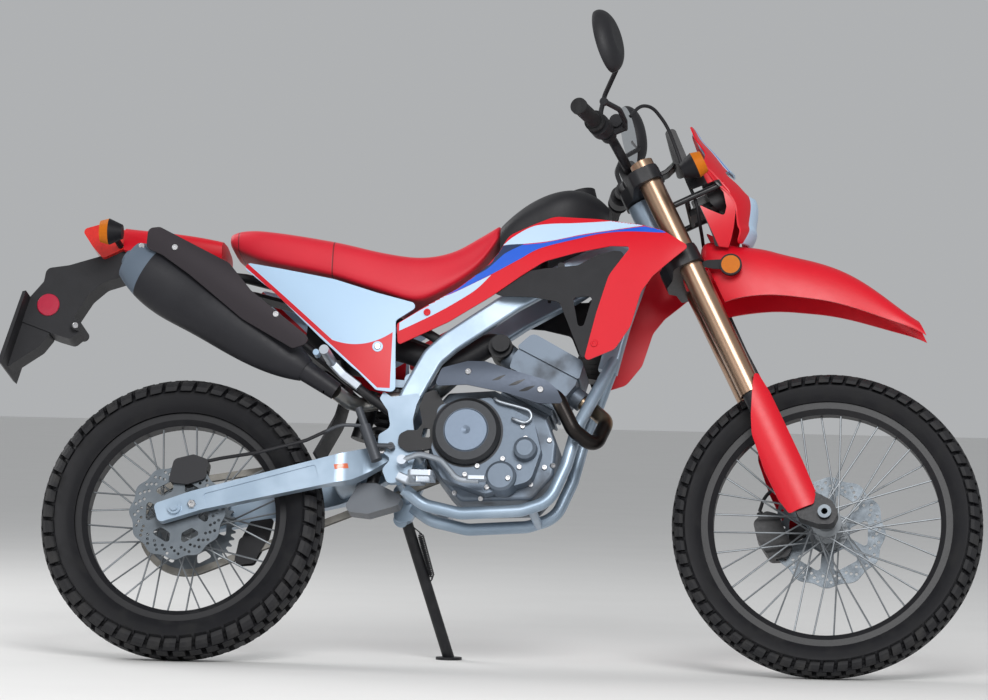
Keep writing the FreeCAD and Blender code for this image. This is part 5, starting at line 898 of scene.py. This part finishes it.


# Reflectors, slots and panel screws: round red reflectors on the plate's arm, and painted shade in slots pressed
# through the header's guard. A plain orange film is stuck to the swingarm, and the shroud screws are coloured as the
# panel is.
red_reflector = film_finish("red reflector", (0.36, 0.004, 0.03), (0.44, 0.006, 0.04))
LENS_PROFILE = [(26, -2), (26, 3), (24.5, 4.5), (12, 5.2)]
WASHER_PROFILE = [(12, -1), (12, 1.2), (11, 1.8)]
SHROUD_SCREWS = [(546, 787), (930, 714)]
COVER_SCREW = [(439, 703)]
for side, hand in HANDS:
    turned_on(f"tail_reflector_{hand}", ["plate_bracket"], [(-341, 812)], side, red_reflector, LENS_PROFILE, 48)
    turned_on(f"shroud_screws_{hand}", ["tank_shrouds"], SHROUD_SCREWS, side, red_plastic, cap_screw(8, 4))
    turned_on(f"cover_washer_{hand}", ["side_covers"], COVER_SCREW, side, white_film, WASHER_PROFILE, 32)
    turned_on(f"cover_screw_{hand}", ["side_covers"], COVER_SCREW, side, zinc_steel, cap_screw(7.5, 5))
# Black films over the slots: painted shade inside them.
slot_shade_film = film_finish("painted shade of shield slots", (0.006, 0.006, 0.008), (0.012, 0.012, 0.014))
SHIELD_SLOTS = (
    ([(708, 619), (722, 627), (737, 632)], [(708, 618), (722, 620), (737, 631)]),
    ([(745, 608), (763, 618), (781, 623)], [(745, 607), (763, 610), (781, 622)]),
    ([(768, 596), (786, 605), (804, 609)], [(768, 595), (786, 597), (804, 608)]),
)
for number, (top, bottom) in enumerate(SHIELD_SLOTS):
    film_on("heat_shields", f"shield_slot_shade_{number}", top, bottom, RIGHT, slot_shade_film, columns=12, rows=4)
orange_film = film_finish("orange sticker", (0.55, 0.09, 0.02), (0.62, 0.12, 0.03))
ARM_FILM = ([(354, 431), (384, 436)], [(357, 420), (387, 425)])
film_on("swingarm", "arm_sticker", *ARM_FILM, RIGHT, orange_film, columns=6, rows=4)


# Breather pipe on the right of the cases, and the side stand's return spring: bent steel rod and wire.
# The pipe's ends go into the cases. The spring hangs beside the leg and swings with it.
def bent_rod(name, points, radius, finish, body, sides=10):
    """A round rod through the given points, closed at its ends."""
    mesh = bmesh.new()
    rings = []
    side = Vector((0, 0, 0))
    for index, here in enumerate(points):
        way = (points[min(index + 1, len(points) - 1)] - points[max(index - 1, 0)]).normalized()
        if side.length < 0.5:
            side = way.orthogonal().normalized()
        side = (side - way * way.dot(side)).normalized()
        rings.append(ring_round(mesh, here, side, way.cross(side), radius, sides))
    close_rings(mesh, rings)
    bmesh.ops.recalc_face_normals(mesh, faces=mesh.faces)
    for face in mesh.faces:
        face.smooth = True
    part = set_up(name, mesh, finish)
    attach(part, body)


BREATHER_LINE = [
    (711, -124, 588), (713, -137, 584), (726, -140, 576), (780, -140, 562), (794, -140, 553), (795, -140, 539),
    (781, -140, 530), (757, -139, 538), (753, -126, 540),
]
BREATHER_RADIUS = 0.0035
breather_points = [upright @ (Vector(point) / 1000) for point in smooth_line(BREATHER_LINE, 60)]
bent_rod("breather_pipe", breather_points, BREATHER_RADIUS, bright_casting, "chassis")

hinge = Vector(joints["side_stand_fold"]["pos_m"])
stand_solid = frame["nodes"]["side_stand"].data
foot = min((vert.co for vert in stand_solid.vertices), key=lambda spot: spot.z)
leg = (foot - hinge).normalized()
spring_side = (ahead - leg * leg.dot(ahead)).normalized()
spring_out = leg.cross(spring_side)
COILS, COIL_STEPS, COIL_RADIUS, WIRE_RADIUS = 26, 20, 0.0062, 0.0015
SPRING_START, SPRING_LENGTH, SPRING_OFFSET = 0.045, 0.115, 0.024
coils = []
for step in range(COILS * COIL_STEPS + 1):
    share = step / (COILS * COIL_STEPS)
    wide = COIL_RADIUS * min(1, share * 12, (1 - share) * 12)
    angle = 2 * pi * COILS * share
    middle = hinge + leg * (SPRING_START + SPRING_LENGTH * share)
    coils.append(middle + spring_side * (SPRING_OFFSET + wide * cos(angle)) + spring_out * (wide * sin(angle)))
upper_hook = coils[0] - leg * 0.016 - spring_side * 0.012
lower_hook = coils[-1] + leg * 0.012 - spring_side * 0.014
bent_rod("stand_spring", [upper_hook] + coils + [lower_hook], WIRE_RADIUS, black_coat, "side_stand", 6)


# Studio: a plain pale floor under a pale sky, with a large soft lamp on the right and two weaker ones.
# The camera stands on the right, a few degrees ahead of square, as it did for the photograph.
REACH = 30
floor_corners = [(-REACH, -REACH, 0), (REACH, -REACH, 0), (REACH, REACH, 0), (-REACH, REACH, 0)]
floor_mesh = bpy.data.meshes.new("floor")
floor_mesh.from_pydata(floor_corners, [], [(0, 1, 2, 3)])
floor = bpy.data.objects.new("floor", floor_mesh)
bpy.context.scene.collection.objects.link(floor)
pale_floor = Finish("pale floor", Roughness=0.8)
pale_floor.shine(Base_Color=pale_floor.between(pale_floor.noise(3.0), (0.76, 0.755, 0.745), (0.80, 0.795, 0.785)))
floor_mesh.materials.append(pale_floor.material)

world = bpy.data.worlds.new("pale studio")
bpy.context.scene.world = world
world.use_nodes = True
sky = world.node_tree.nodes["Background"]
sky.inputs["Color"].default_value = (0.86, 0.88, 0.90, 1)
sky.inputs["Strength"].default_value = 0.5


def soft_lamp(name, place, target, power, width):
    """A round lamp at a place, turned to a target, in watts and metres."""
    lamp = bpy.data.lights.new(name, "AREA")
    lamp.energy, lamp.shape, lamp.size = power, "DISK", width
    holder = bpy.data.objects.new(name, lamp)
    holder.location = place
    holder.rotation_euler = (Vector(target) - Vector(place)).to_track_quat("-Z", "Y").to_euler()
    bpy.context.scene.collection.objects.link(holder)


soft_lamp("key lamp", (1.2, -5.4, 3.6), (0, -0.2, 0.6), power=260, width=2.6)
soft_lamp("rear lamp", (-4.0, 1.6, 3.4), (0, 0, 0.6), power=120, width=2.6)
soft_lamp("low fill", (-2.5, -5.0, 1.2), (0, 0, 0.5), power=30, width=3.0)

camera = bpy.data.cameras.new("camera")
camera.sensor_width, camera.lens, camera.clip_end = 36, 180.13, 100
viewer = bpy.data.objects.new("camera", camera)
viewer.location = (1.3503, -11.2586, 0.7359)
viewer.rotation_euler = (radians(89.88), radians(-1.15), radians(6.899))
bpy.context.scene.collection.objects.link(viewer)
bpy.context.scene.camera = viewer
bpy.context.scene.view_settings.view_transform = "Standard"
